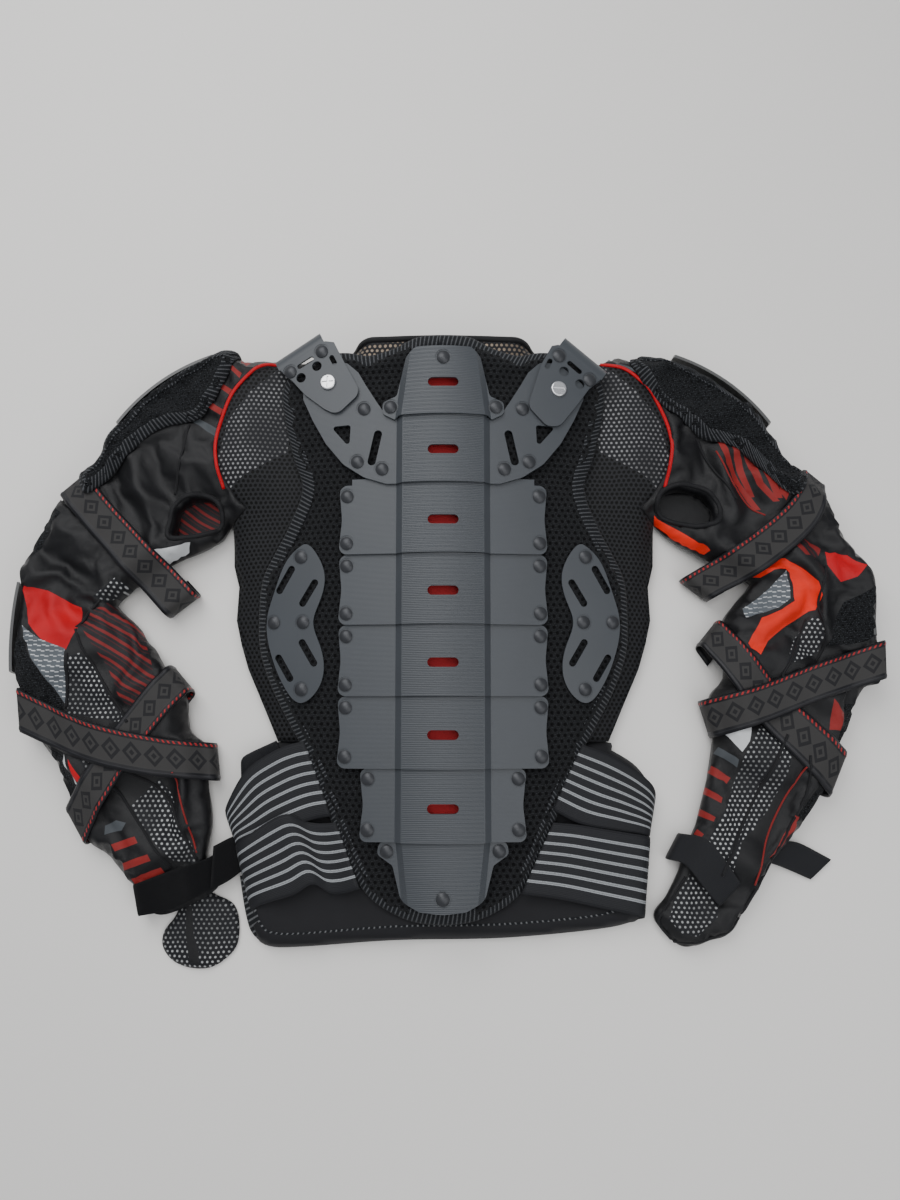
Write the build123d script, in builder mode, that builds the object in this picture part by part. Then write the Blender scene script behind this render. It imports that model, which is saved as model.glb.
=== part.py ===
from build123d import *
import math
import os

# Armoured jacket with a plated back protector, lying face down on its chest plates.
# Millimetres. Origin on the floor under the middle of the jacket; +Y runs to the collar and
# +Z out of the back, so the wearer's left side is at -X.

# ------------------------------------------------------------------ driving dimensions
BACK_Z = 60.0            # height of the back plane over the origin
BACK_TILT = 6.0          # the back plane rises towards the collar, in degrees
ARCH_R = 700.0           # cross curvature of everything on the back
BODY_R = 900.0           # cross curvature of the jacket body under it
DEEP = 400.0             # longer than any cut has to be

PLATE_TOPS = [287.0, 220.0, 151.0, 82.0, 13.0, -56.0, -125.0, -194.0]
PLATE_END_L = 65.0       # length of the lowest plate
PLATE_T = 3.0
PLATE_LAP = 6.0          # hidden strip under the plate above
SHINGLE = 2.9            # each plate lies this much flatter than the back, in degrees
RIDGE_FOOT = 46.0        # half-width of the centre ridge at its foot
RIDGE_SHOULDER = 40.0    # half-width at the top of its steep side
RIDGE_SIDE_H = 4.5
RIDGE_H = 9.5
RIDGE_TAPER = 8.0        # how much narrower the end plates' ridge is at its free end
SLOT_L = 30.0
SLOT_W = 9.0
SLOT_DROP = 37.0         # slot centre below the plate's upper edge

RIVET_R = 6.4
RIVET_H = 3.2
RIVET_RIM_H = 1.0         # straight side of the head, under its dome
RIVET_HOLE_R = 3.0
RIVET_PLAY = 0.15
RIVET_SINK = 0.6         # depth of the ring recess round each head
RIVET_RING_R = 8.0
WASHER_R = 6.0
WASHER_T = 1.2

PAD_TOP = -3.0           # pad surface under the back plane's arch
PAD_UNDER = -22.0
LINER_T = 0.8
LINER_TOP_Y = 264.0
LINER_END_Y = -182.0
LINER_HALF_W = 24.0
BORDER_W = 6.0
BORDER_LOW = -15.4
BORDER_HIGH = -9.0
SIDE_PLATE_T = 4.4
WING_STRAP_GAP = 0.6     # between a wing and the strap plate on it
CURL_R = 15.0            # strap plate's roll over the shoulder
CURL_DEG = 62.0
SCREW_HEAD_R = 8.0
SCREW_HEAD_H = 2.6
SCREW_HOLE_R = 3.4

FABRIC_T = 3.0
FRONT_Z = 5.0            # underside of the front mesh, on the chest plates
ARMHOLE = (150.0, 205.0)
ARMHOLE_R = 84.0
ARMHOLE_TOP_DEG = 102.0
ARMHOLE_END_DEG = -40.0
SLEEVE_TOP_DEG = 80.0     # the sleeve stops short of the armhole's top, so that it can swing out
SLEEVE_END_DEG = -36.0
NECK_HALF_W = 92.0
COLLAR_Y = 308.5
WAIST_Y = -98.0
BELT_Z = 1.0
BELT_H = 18.0
BELT_WALL = 4.0
BAND_T = 2.4

JOINT_GAP = 1.5          # between the rounded ends of the sleeve parts
ELBOW = (372.0, 56.0)
ELBOW_R = 56.0
ELBOW_OUTER_DEG = 40.0
UPPER_H = 46.0
FOREARM_H = 36.0
SLEEVE_WALL = 2.5
HARD_T = 3.0
STRAP_T = 2.2
STRAP_GAP = 0.3

os.makedirs("parts", exist_ok=True)


# ------------------------------------------------------------------ helpers
def keep(part, name):
    """Labels a finished piece and writes it."""
    part.label = name
    export_step(part, f"parts/{name}.step")


def flip(points, side):
    """The same outline on the left (-1) or the right (+1)."""
    return [(side * x, y) for x, y in points]


def both_sides(half):
    """A half outline, from the spine round to the spine, with its mirror image."""
    return half + [(-x, y) for x, y in reversed(half) if x]


def polar(centre, radius, degrees):
    angle = math.radians(degrees)
    return (centre[0] + radius * math.cos(angle), centre[1] + radius * math.sin(angle))


def arch(x, radius=ARCH_R):
    """How far the arched surface has dropped at distance x from the spine."""
    return math.sqrt(radius**2 - x**2) - radius


def station(y, shingle=0.0):
    """The back plane at distance y along the spine, laid flatter by shingle."""
    tilt = math.radians(BACK_TILT)
    own = math.radians(BACK_TILT - shingle)
    middle = (0, y * math.cos(tilt), BACK_Z + y * math.sin(tilt))
    return Plane(origin=middle, x_dir=(1, 0, 0), z_dir=(0, -math.sin(own), math.cos(own)))


def across(plane, y=0.0):
    """The plane that cuts another one across the body; it extrudes towards the waist."""
    return Plane(origin=plane.from_local_coords((0, y, 0)), x_dir=plane.x_dir, z_dir=-plane.y_dir)


def seat(plane, x, y, height=0.0):
    """A plane on the arched surface at (x, y), facing straight out of it."""
    lean = math.asin(x / ARCH_R)
    origin = plane.from_local_coords((x, y, arch(x) + height))
    outward = plane.x_dir * math.sin(lean) + plane.z_dir * math.cos(lean)
    along = plane.x_dir * math.cos(lean) - plane.z_dir * math.sin(lean)
    return Plane(origin=origin, x_dir=along, z_dir=outward)


def arched_slab(plane, low, high, half_w, y_top, y_bottom, low_r=ARCH_R, high_r=ARCH_R):
    """A slab between two arched surfaces, for an outline to be cut from."""
    with BuildSketch(across(plane, y_top)) as section:
        with BuildLine():
            for height, radius in ((low, low_r), (high, high_r)):
                edge = arch(half_w, radius) + height
                ThreePointArc((-half_w, edge), (0, height), (half_w, edge))
            for x in (-half_w, half_w):
                Line((x, arch(half_w, low_r) + low), (x, arch(half_w, high_r) + high))
        make_face()
    extrude(section.sketch, amount=y_top - y_bottom, dir=-plane.y_dir)


def at_any(vertex, corners):
    return any(math.dist((vertex.X, vertex.Y), corner) < 0.01 for corner in corners)


def trim(plane, points, rounds=()):
    """Keeps what lies inside an outline on the plane; rounds lists (radius, corners)."""
    with BuildSketch(plane.offset(-DEEP / 2)) as outline:
        with BuildLine():
            Polyline(*points, close=True)
        make_face()
        for radius, corners in rounds:
            fillet([v for v in outline.vertices() if at_any(v, corners)], radius=radius)
    extrude(outline.sketch, amount=DEEP, dir=plane.z_dir, mode=Mode.INTERSECT)


def grown(points, margin):
    """A clockwise closed outline with every point moved straight outwards."""
    moved = []
    before = points[-1:] + points[:-1]
    after = points[1:] + points[:1]
    for (x0, y0), (x, y), (x1, y1) in zip(before, points, after):
        length = math.hypot(x1 - x0, y1 - y0)
        moved.append((x - margin * (y1 - y0) / length, y + margin * (x1 - x0) / length))
    return moved


def smooth_prism(plane, points, mode=Mode.INTERSECT):
    """Cuts with a smooth closed outline on the plane."""
    with BuildSketch(plane.offset(-DEEP / 2)) as outline:
        with BuildLine():
            Spline(*points, periodic=True)
        make_face()
    extrude(outline.sketch, amount=DEEP, dir=plane.z_dir, mode=mode)


def cut_slots(plane, ends, width):
    """Cuts slots with round ends, each given by the centres of its two ends."""
    with BuildSketch(plane.offset(-DEEP / 2)) as slots:
        for (x1, y1), (x2, y2) in ends:
            turn = math.degrees(math.atan2(y2 - y1, x2 - x1))
            with Locations(Location(((x1 + x2) / 2, (y1 + y2) / 2, 0), (0, 0, turn))):
                SlotCenterToCenter(math.dist((x1, y1), (x2, y2)), width)
    extrude(slots.sketch, amount=DEEP, dir=plane.z_dir, mode=Mode.SUBTRACT)


def drill(seats, radius, ring_r=0.0, ring_top=0.0):
    """Holes at each seat, with an optional shallow ring recess round each."""
    for place in seats:
        with Locations(place):
            Cylinder(radius, 30, mode=Mode.SUBTRACT)
        if ring_r:
            with Locations(place.offset(ring_top - RIVET_SINK)):
                bottom = (Align.CENTER, Align.CENTER, Align.MIN)
                Cylinder(ring_r, 10, align=bottom, mode=Mode.SUBTRACT)


# ------------------------------------------------------------------ rivets and screws
with BuildPart() as rivet:
    # one rivet for a sheet of PLATE_T: its seat is the sheet's underside
    head_z = PLATE_T - RIVET_SINK
    rim_z = head_z + RIVET_RIM_H
    dome_h = RIVET_H - RIVET_RIM_H
    dome_r = (RIVET_R**2 + dome_h**2) / (2 * dome_h)
    dome_z = rim_z + dome_h - dome_r
    shank_r = RIVET_HOLE_R - RIVET_PLAY
    with BuildSketch(Plane.XZ):
        with BuildLine():
            Polyline(
                (0, -WASHER_T), (WASHER_R, -WASHER_T), (WASHER_R, -RIVET_PLAY),
                (shank_r, -RIVET_PLAY), (shank_r, head_z), (RIVET_R, head_z), (RIVET_R, rim_z),
            )
            half_way = (RIVET_R / 2, dome_z + math.sqrt(dome_r**2 - RIVET_R**2 / 4))
            ThreePointArc((RIVET_R, rim_z), half_way, (0, dome_z + dome_r))
            Line((0, dome_z + dome_r), (0, -WASHER_T))
        make_face()
    revolve(axis=Axis.Z)


def rivet_group(seats, name):
    with BuildPart() as rivets:
        for place in seats:
            with Locations(place):
                add(rivet.part)
    keep(rivets.part, name)


# ------------------------------------------------------------------ spine plates
def ridge_section(plane, y, half_w, foot, shoulder):
    """Cross-section of a spine plate: two arched flanges and a hollow ridge, PLATE_T thick."""
    with BuildSketch(across(plane, y)) as section:
        with BuildLine():
            for h in (0.0, PLATE_T):
                middle = (half_w + foot) / 2
                for s in (-1, 1):
                    ThreePointArc(*((s * x, arch(x) + h) for x in (half_w, middle, foot)))
                    Line((s * foot, arch(foot) + h), (s * shoulder, RIDGE_SIDE_H + h))
                ThreePointArc((-shoulder, RIDGE_SIDE_H + h), (0, RIDGE_H + h), (shoulder, RIDGE_SIDE_H + h))
            for s in (-1, 1):
                Line((s * half_w, arch(half_w)), (s * half_w, arch(half_w) + PLATE_T))
        make_face()
    return section.sketch


def spine_plate(
    number, half_outline, rounds, rivets, ridge_rivets=(), taper_top=0.0, taper_end=0.0
):
    """One plate and its rivets; the outline is in the plate's own plane, from its upper edge."""
    plane = station(PLATE_TOPS[number - 1], shingle=SHINGLE)
    points = both_sides(half_outline)
    y_top = max(y for _, y in points) + 1
    y_end = min(y for _, y in points) - 1
    half_w = max(x for x, _ in points) + 4
    seats = [seat(plane, s * x, y) for x, y in rivets for s in (-1, 1)]
    seats += [seat(plane, x, y, RIDGE_H) for x, y in ridge_rivets]
    with BuildPart() as plate:
        sections = []
        for y, taper in ((y_top, taper_top), (y_end, taper_end)):
            foot, shoulder = RIDGE_FOOT - taper, RIDGE_SHOULDER - taper
            sections.append(ridge_section(plane, y, half_w, foot, shoulder))
        loft(sections, ruled=True)
        trim(plane, points, [(r, corners + flip(corners, -1)) for r, corners in rounds])
        if number < len(PLATE_TOPS):
            slot_end = (SLOT_L - SLOT_W) / 2
            cut_slots(plane, [((-slot_end, -SLOT_DROP), (slot_end, -SLOT_DROP))], SLOT_W)
        if number == 2:
            cut_wing_openings(plane)
        drill(seats, RIVET_HOLE_R, RIVET_RING_R, PLATE_T)
    keep(plate.part, f"spine_plate_{number}")
    rivet_group(seats, f"spine_rivets_{number}")


SCREW_AT = [(-114.0, 36.0), (114.0, 29.0)]      # in the second plate's plane
WING_WINDOW = [(92.0, -8.0), (112.0, -9.0), (93.0, -31.0)]
WING_SLOT = ((64.5, -18.5), (70.5, -46.0))


def cut_wing_openings(plane):
    cut_slots(plane, [tuple(flip(WING_SLOT, s)) for s in (-1, 1)], 8.0)
    with BuildSketch(plane.offset(-DEEP / 2)) as windows:
        for s in (-1, 1):
            with BuildLine():
                Polyline(*flip(WING_WINDOW, s), close=True)
            make_face()
        fillet(windows.vertices(), radius=2.5)
    extrude(windows.sketch, amount=DEEP, dir=plane.z_dir, mode=Mode.SUBTRACT)
    drill([seat(plane, x, y) for x, y in SCREW_AT], SCREW_HOLE_R)


top_plate = [
    (0, 0), (28, 0), (37, -9), (46, -48), (60, -54), (60, -66), (48, -72), (44, -69), (0, -69),
]
wing_plate = [
    (0, PLATE_LAP), (43, PLATE_LAP), (43, -3), (57, 1), (67, 16), (77, 32), (85, 46), (97, 57),
    (116, 57), (142, 36), (141, 21), (131, -1), (117, -26), (99, -48), (78, -62), (56, -69), (0, -69),
]
wide_plate = [
    (0, PLATE_LAP), (90, PLATE_LAP), (90, 0), (103, 0), (99.5, -34.5), (103, -69), (0, -69),
]
narrow_plate = [
    (0, PLATE_LAP), (68, PLATE_LAP), (68, 0), (80.5, 0), (76.5, -34.5), (80.5, -69), (0, -69),
]
tail_plate = [
    (0, PLATE_LAP), (48, PLATE_LAP), (48, 0), (61, 0), (63, -12), (48, -22), (40, -54), (22, -63),
    (0, -PLATE_END_L),
]

spine_plate(
    1, top_plate,
    [(8, [(28, 0)]), (6, [(37, -9)]), (5, [(46, -48), (60, -54)]), (6, [(60, -66)])],
    [(52, -59)], ridge_rivets=[(0, -12)], taper_top=RIDGE_TAPER, taper_end=-1.5,
)
spine_plate(
    2, wing_plate,
    [(8, [(97, 57), (116, 57), (142, 36)]), (20, [(131, -1), (117, -26), (99, -48), (78, -62)])],
    [(78.5, 8), (84.5, -46), (60, -54)],
)
for number in (3, 4, 5, 6):
    spine_plate(
        number, wide_plate, [(8, [(103, 0), (103, -69)]), (60, [(99.5, -34.5)])],
        [(94.5, -11), (94.5, -58)],
    )
spine_plate(
    7, narrow_plate, [(7, [(80.5, 0), (80.5, -69)]), (50, [(76.5, -34.5)])],
    [(72, -10), (72, -58)],
)
spine_plate(
    8, tail_plate, [(6, [(61, 0), (63, -12), (48, -22)]), (12, [(40, -54), (22, -63)])],
    [(53.5, -9)], ridge_rivets=[(0, -51)], taper_end=RIDGE_TAPER,
)

# ------------------------------------------------------------------ strap plates over the shoulders
wing_plane = station(PLATE_TOPS[1], shingle=SHINGLE)
strap_low = PLATE_T + WING_STRAP_GAP
strap_high = strap_low + PLATE_T

# Each strap plate: outline from the free lower end, flat as far as the roll over the shoulder.
STRAPS = {
    "left": {
        "outline": [
            (-106, 2), (-119, 9), (-139, 25), (-152, 40), (-165.4, 52.8), (-119.4, 79.8), (-110, 78),
            (-98, 54), (-82, 24),
        ],
        "edge": ((-165.4, 52.8), (-119.4, 79.8)),
        "rivets": [(-154, 50), (-122, 69)],
        "slots": [((-145, 55), (-133, 62)), ((-112, 62), (-109, 56))],
        "holes": [(-142, 43), (-126, 54)],
    },
    "right": {
        "outline": [
            (103, -10), (116, -9), (134, 14), (147, 32), (159, 42.7), (116, 75.7), (109, 74), (98, 54),
            (84, 10),
        ],
        "edge": ((116, 75.7), (159, 42.7)),
        "rivets": [(147, 41), (116, 64)],
        "slots": [((127, 57), (137, 49)), ((107, 58), (104, 52))],
        "holes": [(136, 36), (120, 48)],
    },
}


def shoulder_strap(side, screw, form):
    """A strap plate on the wing, rolled down over the shoulder at its far edge."""
    start, end = (wing_plane.from_local_coords((x, y, arch(x))) for x, y in form["edge"])
    run = Vector(end) - Vector(start)
    edge = Plane(origin=start, x_dir=wing_plane.z_dir.cross(run), z_dir=run)
    seats = [seat(wing_plane, x, y, strap_low) for x, y in form["rivets"]]
    with BuildPart() as strap:
        arched_slab(wing_plane, strap_low, strap_high, 180, 90, -20)
        trim(wing_plane, form["outline"], [(11, form["outline"][:2] + form["outline"][-1:])])
        with BuildSketch(edge):
            with BuildLine():
                centre = (0, strap_high - CURL_R)
                over = CenterArc(centre, CURL_R, 90, -CURL_DEG)
                under = CenterArc(centre, CURL_R - PLATE_T, 90, -CURL_DEG)
                Line(over @ 0, under @ 0)
                Line(over @ 1, under @ 1)
            make_face()
        extrude(amount=run.length)
        cut_slots(wing_plane, form["slots"], 5.0)
        drill([seat(wing_plane, x, y) for x, y in form["holes"]], 5.0)
        drill([seat(wing_plane, *screw)], SCREW_HOLE_R)
        drill(seats, RIVET_HOLE_R, RIVET_RING_R, PLATE_T)
    keep(strap.part, f"shoulder_strap_{side}")
    rivet_group(seats, f"shoulder_strap_rivets_{side}")


def strap_screw(side, screw):
    """Screw through the strap plate and the wing; the left head has a cross, the right one a slot."""
    place = seat(wing_plane, *screw)
    with BuildPart() as body:
        with BuildSketch(place):
            Circle(SCREW_HOLE_R - 0.4)
        extrude(amount=strap_high)
        with BuildSketch(place.offset(strap_high)):
            Circle(SCREW_HEAD_R)
        extrude(amount=SCREW_HEAD_H)
        longest = body.edges().group_by(SortBy.LENGTH)[-1]
        fillet(longest.sort_by(lambda e: place.to_local_coords(e.center()).Z)[-1], radius=1.6)
        with BuildSketch(place.offset(strap_high + SCREW_HEAD_H - 1.2)):
            Rectangle(12.0, 1.8)
            if side == "left":
                Rectangle(1.8, 12.0)
        extrude(amount=3, mode=Mode.SUBTRACT)
    keep(body.part, f"shoulder_screw_{side}")


for side, screw in zip(("left", "right"), SCREW_AT):
    shoulder_strap(side, screw, STRAPS[side])
    strap_screw(side, screw)

# ------------------------------------------------------------------ pad, border, liner and side plates
back = station(0)
PAD = both_sides([
    (0, 302), (25, 300), (48, 289), (75, 282), (100, 286), (128, 283), (160, 256), (150, 193),
    (138, 152), (152, 112), (167, 84), (179, 58), (182, 22), (180, -12), (168, -46), (150, -80),
    (136, -104), (122, -135), (110, -164), (78, -234), (42, -262), (0, -270),
])
belt_top = BELT_Z + BELT_H

with BuildPart() as back_pad:
    arched_slab(back, PAD_UNDER, PAD_TOP, 200, 320, -290, low_r=BODY_R)
    smooth_prism(back, PAD)
    split(bisect_by=Plane.XY.offset(belt_top + STRAP_GAP), keep=Keep.TOP)
keep(back_pad.part, "back_pad")

with BuildPart() as back_pad_border:
    arched_slab(back, BORDER_LOW, BORDER_HIGH, 210, 330, -300)
    smooth_prism(back, grown(PAD, BORDER_W))
    smooth_prism(back, PAD, mode=Mode.SUBTRACT)
    split(bisect_by=Plane.XY.offset(belt_top + STRAP_GAP), keep=Keep.TOP)
keep(back_pad_border.part, "back_pad_border")

with BuildPart() as red_liner:
    arched_slab(back, PAD_TOP, PAD_TOP + LINER_T, LINER_HALF_W, LINER_TOP_Y, LINER_END_Y)
keep(red_liner.part, "red_liner")

SIDE_PLATE = [
    (140, 93), (155, 79), (168, 48), (176, 16), (170, -18), (157, -47), (140, -63), (125, -53),
    (117, -24), (122, -4), (128, 16), (122, 36), (117, 56), (125, 83),
]
SIDE_SLOTS = [
    ((151, 69), (163, 48)), ((127, 55), (139, 35)), ((139, -4), (127, -24)), ((163, -19), (151, -39)),
]
SIDE_RIVETS = [(141, 81), (139, -50), (168, 16), (138, 16)]
side_rivet_seats = []
for side, name in ((-1, "left"), (1, "right")):
    rivet_z = PAD_TOP + SIDE_PLATE_T - PLATE_T
    seats = [seat(back, side * x, y, rivet_z) for x, y in SIDE_RIVETS]
    side_rivet_seats += seats
    with BuildPart() as side_plate:
        arched_slab(back, PAD_TOP, PAD_TOP + SIDE_PLATE_T, 190, 110, -80)
        smooth_prism(back, flip(SIDE_PLATE, side))
        cut_slots(back, [tuple(flip(slot, side)) for slot in SIDE_SLOTS], 7.0)
        drill(seats, RIVET_HOLE_R, RIVET_RING_R, PLATE_T)
        for place in seats:
            with Locations(place):
                below = (Align.CENTER, Align.CENTER, Align.MAX)
                Cylinder(WASHER_R, 5, align=below, mode=Mode.SUBTRACT)
    keep(side_plate.part, f"side_plate_{name}")
rivet_group(side_rivet_seats, "side_plate_rivets")


# ------------------------------------------------------------------ jacket body
def body_outline(inset):
    """Half the body from the collar round the armhole to the waist, mirrored; inset all round."""
    top = polar(ARMHOLE, ARMHOLE_R, ARMHOLE_TOP_DEG)
    middle = polar(ARMHOLE, ARMHOLE_R, (ARMHOLE_TOP_DEG + ARMHOLE_END_DEG) / 2)
    end = polar(ARMHOLE, ARMHOLE_R, ARMHOLE_END_DEG)
    with BuildSketch(Plane.XY.offset(-DEEP / 2)) as outline:
        with BuildLine():
            Polyline((0, COLLAR_Y), (100, COLLAR_Y), top)
            ThreePointArc(top, middle, end)
            Polyline(
                end, (221, 128), (219, 90), (212, 60), (213, 25), (207, 0), (199, -25), (183, -60),
                (166, WAIST_Y), (0, WAIST_Y),
            )
            mirror(about=Plane.YZ)
        make_face()
        if inset:
            offset(amount=-inset)
    return outline.sketch


def body_block(inset):
    """Everything inside the body's outline, from its front up to the arched back."""
    with BuildPart() as block:
        arched_slab(back, -120, PAD_UNDER - inset, 260, 340, -200, low_r=BODY_R, high_r=BODY_R)
        extrude(body_outline(inset), amount=DEEP, dir=(0, 0, 1), mode=Mode.INTERSECT)
        split(bisect_by=Plane.XY.offset(FRONT_Z + inset), keep=Keep.TOP)
    return block.part


def strip(points, width):
    """A flat strip of even width along a line, on the floor plane."""
    with BuildSketch() as band:
        with BuildLine():
            Polyline(*points)
        trace(line_width=width)
    return band.sketch


front_top = FRONT_Z + FABRIC_T
floor_up = (Align.CENTER, Align.CENTER, Align.MIN)
with BuildPart() as body_shell:
    add(body_block(0))
    add(body_block(FABRIC_T), mode=Mode.SUBTRACT)
    with Locations((0, COLLAR_Y, front_top)):
        Box(2 * NECK_HALF_W, 12, 56, align=floor_up, mode=Mode.SUBTRACT)
    with Locations((0, WAIST_Y, front_top)):
        Box(420, 8, 40, align=floor_up, mode=Mode.SUBTRACT)
    for side in (-1, 1):
        armhole_run = strip(flip([(150, 212), (260, 196)], side), 84)
        extrude(armhole_run.moved(Location((0, 0, front_top))), amount=18, dir=(0, 0, 1), mode=Mode.SUBTRACT)

with BuildPart() as back_mesh:
    add(body_shell.part)
    split(bisect_by=Plane.XY.offset(front_top), keep=Keep.TOP)
keep(back_mesh.part, "back_mesh")

ZIP_TOP_Y = 240.0
ZIP_GAP = 20.0
with BuildPart() as front_mesh:
    add(body_shell.part)
    split(bisect_by=Plane.XY.offset(front_top), keep=Keep.BOTTOM)
    with BuildSketch(Plane.XY) as front_opening:
        with Locations((0, (ZIP_TOP_Y + WAIST_Y) / 2)):
            Rectangle(ZIP_GAP, ZIP_TOP_Y - WAIST_Y + 40)
        with Locations((0, 312)):
            Ellipse(NECK_HALF_W, 58)
    extrude(amount=DEEP, mode=Mode.SUBTRACT)
keep(front_mesh.part, "front_mesh")

with BuildPart() as collar_binding:
    arched_slab(back, PAD_UNDER - 2, PAD_UNDER + 5, 98, 314.4, 309.6, low_r=BODY_R, high_r=BODY_R)
    fillet(collar_binding.edges().filter_by(GeomType.CIRCLE), radius=1.8)
keep(collar_binding.part, "collar_binding")

# ------------------------------------------------------------------ front zip
TAPE_HALF_W = 13.0
TAPE_T = 1.2
TEETH_Z = 2.4
TOOTH_PITCH = 6.0
tape_z = FRONT_Z - TAPE_T
zip_length = ZIP_TOP_Y - WAIST_Y - 4
with BuildPart() as zip_tape:
    with Locations((0, WAIST_Y + 2 + zip_length / 2, tape_z)):
        Box(2 * TAPE_HALF_W, zip_length, TAPE_T, align=floor_up)
    with Locations((0, WAIST_Y + 2 + zip_length / 2, (tape_z + TEETH_Z) / 2)):
        with GridLocations(0, TOOTH_PITCH, 1, int(zip_length / TOOTH_PITCH)):
            Box(5.5, TOOTH_PITCH / 2, tape_z - TEETH_Z)
keep(zip_tape.part, "zip_tape")

SLIDER_Y = ZIP_TOP_Y - 20
with BuildPart() as zip_slider:
    with BuildSketch(Plane.XY.offset(0.9)):
        with Locations((0, SLIDER_Y)):
            RectangleRounded(11, 15, 3)
    extrude(amount=TEETH_Z - STRAP_GAP - 0.9)
    with BuildSketch(Plane.XY.offset(0.3)) as pull:
        with Locations((0, SLIDER_Y - 14)):
            RectangleRounded(8, 30, 3)
        with Locations((0, SLIDER_Y - 23)):
            SlotCenterToCenter(4, 3.5, rotation=90, mode=Mode.SUBTRACT)
    extrude(amount=0.9)
keep(zip_slider.part, "zip_slider")

# ------------------------------------------------------------------ chest plates
CHEST = [(20, 60), (20, 212), (62, 238), (118, 226), (136, 160), (116, 84), (70, 52)]
for side, name in ((-1, "left"), (1, "right")):
    with BuildPart() as chest_plate:
        with BuildSketch() as outline:
            with BuildLine():
                Polyline(*flip(CHEST, side), close=True)
            make_face()
            fillet(outline.vertices(), radius=14)
            for y in (105, 145, 185):
                with Locations((side * 74, y)):
                    SlotCenterToCenter(44, 8, mode=Mode.SUBTRACT)
        extrude(amount=FRONT_Z)
        chamfer(chest_plate.faces().sort_by(Axis.Z)[0].edges(), length=1.2)
    keep(chest_plate.part, f"chest_plate_{name}")

# ------------------------------------------------------------------ kidney belt and its bands
BELT = [
    (-140, -99), (-191, -113), (-209, -156), (-196, -195), (-178, -270), (-164, -290), (-138, -293),
    (55, -285), (152, -277), (188, -266), (199, -195), (207, -152), (188, -116), (140, -99),
]


def belt_outline(grow):
    with BuildSketch() as outline:
        with BuildLine():
            Polyline(*BELT, close=True)
        make_face()
        fillet(outline.vertices(), radius=8)
        if grow:
            offset(amount=grow)
    return outline.sketch


with BuildPart() as kidney_belt:
    extrude(belt_outline(0).moved(Location((0, 0, BELT_Z))), amount=BELT_H, dir=(0, 0, 1))
    hollow_z = Location((0, 0, BELT_Z + BELT_WALL))
    hollow_h = BELT_H - 2 * BELT_WALL
    for hollow in (belt_outline(-BELT_WALL), strip([(0, -80), (0, -310)], 280)):
        extrude(hollow.moved(hollow_z), amount=hollow_h, dir=(0, 0, 1), mode=Mode.SUBTRACT)
keep(kidney_belt.part, "kidney_belt")

BANDS = {
    "upper_left": [(-136, -101), (-214, -118), (-214, -160), (-100, -163)],
    "lower_left": [(-100, -168), (-200, -193), (-184, -268), (-60, -250)],
    "upper_right": [(136, -103), (212, -126), (212, -190), (100, -166)],
    "lower_right": [(100, -171), (206, -197), (200, -262), (60, -250)],
}
for name, outline in BANDS.items():
    with BuildPart() as band:
        with BuildSketch(Plane.XY.offset(BELT_Z + 2)):
            with BuildLine():
                Polyline(*outline, close=True)
            make_face()
        extrude(amount=BELT_H - 2 + BAND_T)
        reach = belt_outline(BAND_T)
        extrude(reach, amount=DEEP, dir=(0, 0, 1), mode=Mode.INTERSECT)
        extrude(belt_outline(0), amount=belt_top, dir=(0, 0, 1), mode=Mode.SUBTRACT)
        smooth_prism(back, grown(PAD, BORDER_W + STRAP_GAP), mode=Mode.SUBTRACT)
    keep(band.part, f"belt_band_{name}")

# ------------------------------------------------------------------ sleeves
# Outlines are for the right arm, from the shoulder's front round the outside; the left is mirrored.
UPPER_OUTER = [
    (185, 297), (215, 301), (250, 294), (285, 274), (318, 241), (345, 211), (372, 177), (396, 150),
    (412, 120),
]
UPPER_INNER = [(305, 50), (275, 76), (244, 98), (229, 117)]
FOREARM = {
    "left": [
        (427, 20), (424, -30), (419, -75), (404, -96), (384, -118), (366, -155), (348, -190),
        (322, -212), (298, -240), (268, -262), (222, -240), (224, -205), (232, -150), (240, -100),
        (258, -60), (284, -22), (326, 6),
    ],
    "right": [
        (427, 20), (424, -30), (410, -70), (395, -100), (374, -145), (346, -182), (316, -225),
        (283, -272), (250, -290), (230, -289), (205, -262), (236, -212), (252, -175), (262, -135),
        (268, -92), (270, -55), (280, -25), (326, 6),
    ],
}
CUFF_RUN = {
    "left": [(372, 120), (340, -90), (243, -285)],
    "right": [(372, 120), (345, -90), (232, -320)],
}


def upper_sleeve_outline(side, grow):
    """Between the armhole's arc and the elbow's arc."""
    start, middle, end = (
        polar(ARMHOLE, ARMHOLE_R + JOINT_GAP, a) for a in (SLEEVE_TOP_DEG, 20, SLEEVE_END_DEG)
    )
    elbow = [polar(ELBOW, ELBOW_R + JOINT_GAP, ELBOW_OUTER_DEG + a) for a in (0, 90, 180)]
    with BuildSketch() as outline:
        with BuildLine():
            Polyline(*flip([start, *UPPER_OUTER, elbow[0]], side))
            ThreePointArc(*flip(elbow, side))
            Polyline(*flip([elbow[2], *UPPER_INNER, end], side))
            ThreePointArc(*flip([end, middle, start], side))
        make_face()
        if grow:
            offset(amount=grow)
    return outline.sketch


def forearm_outline(name, side, grow):
    """A round elbow end, then down to the cuff."""
    with BuildSketch() as outline:
        with BuildLine():
            start = (ELBOW[0] + ELBOW_R, ELBOW[1])
            Polyline(*flip([start, *FOREARM[name], ELBOW], side), close=True)
        make_face()
        with Locations(flip([ELBOW], side)):
            Circle(ELBOW_R)
        if grow:
            offset(amount=grow)
    return outline.sketch


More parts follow.
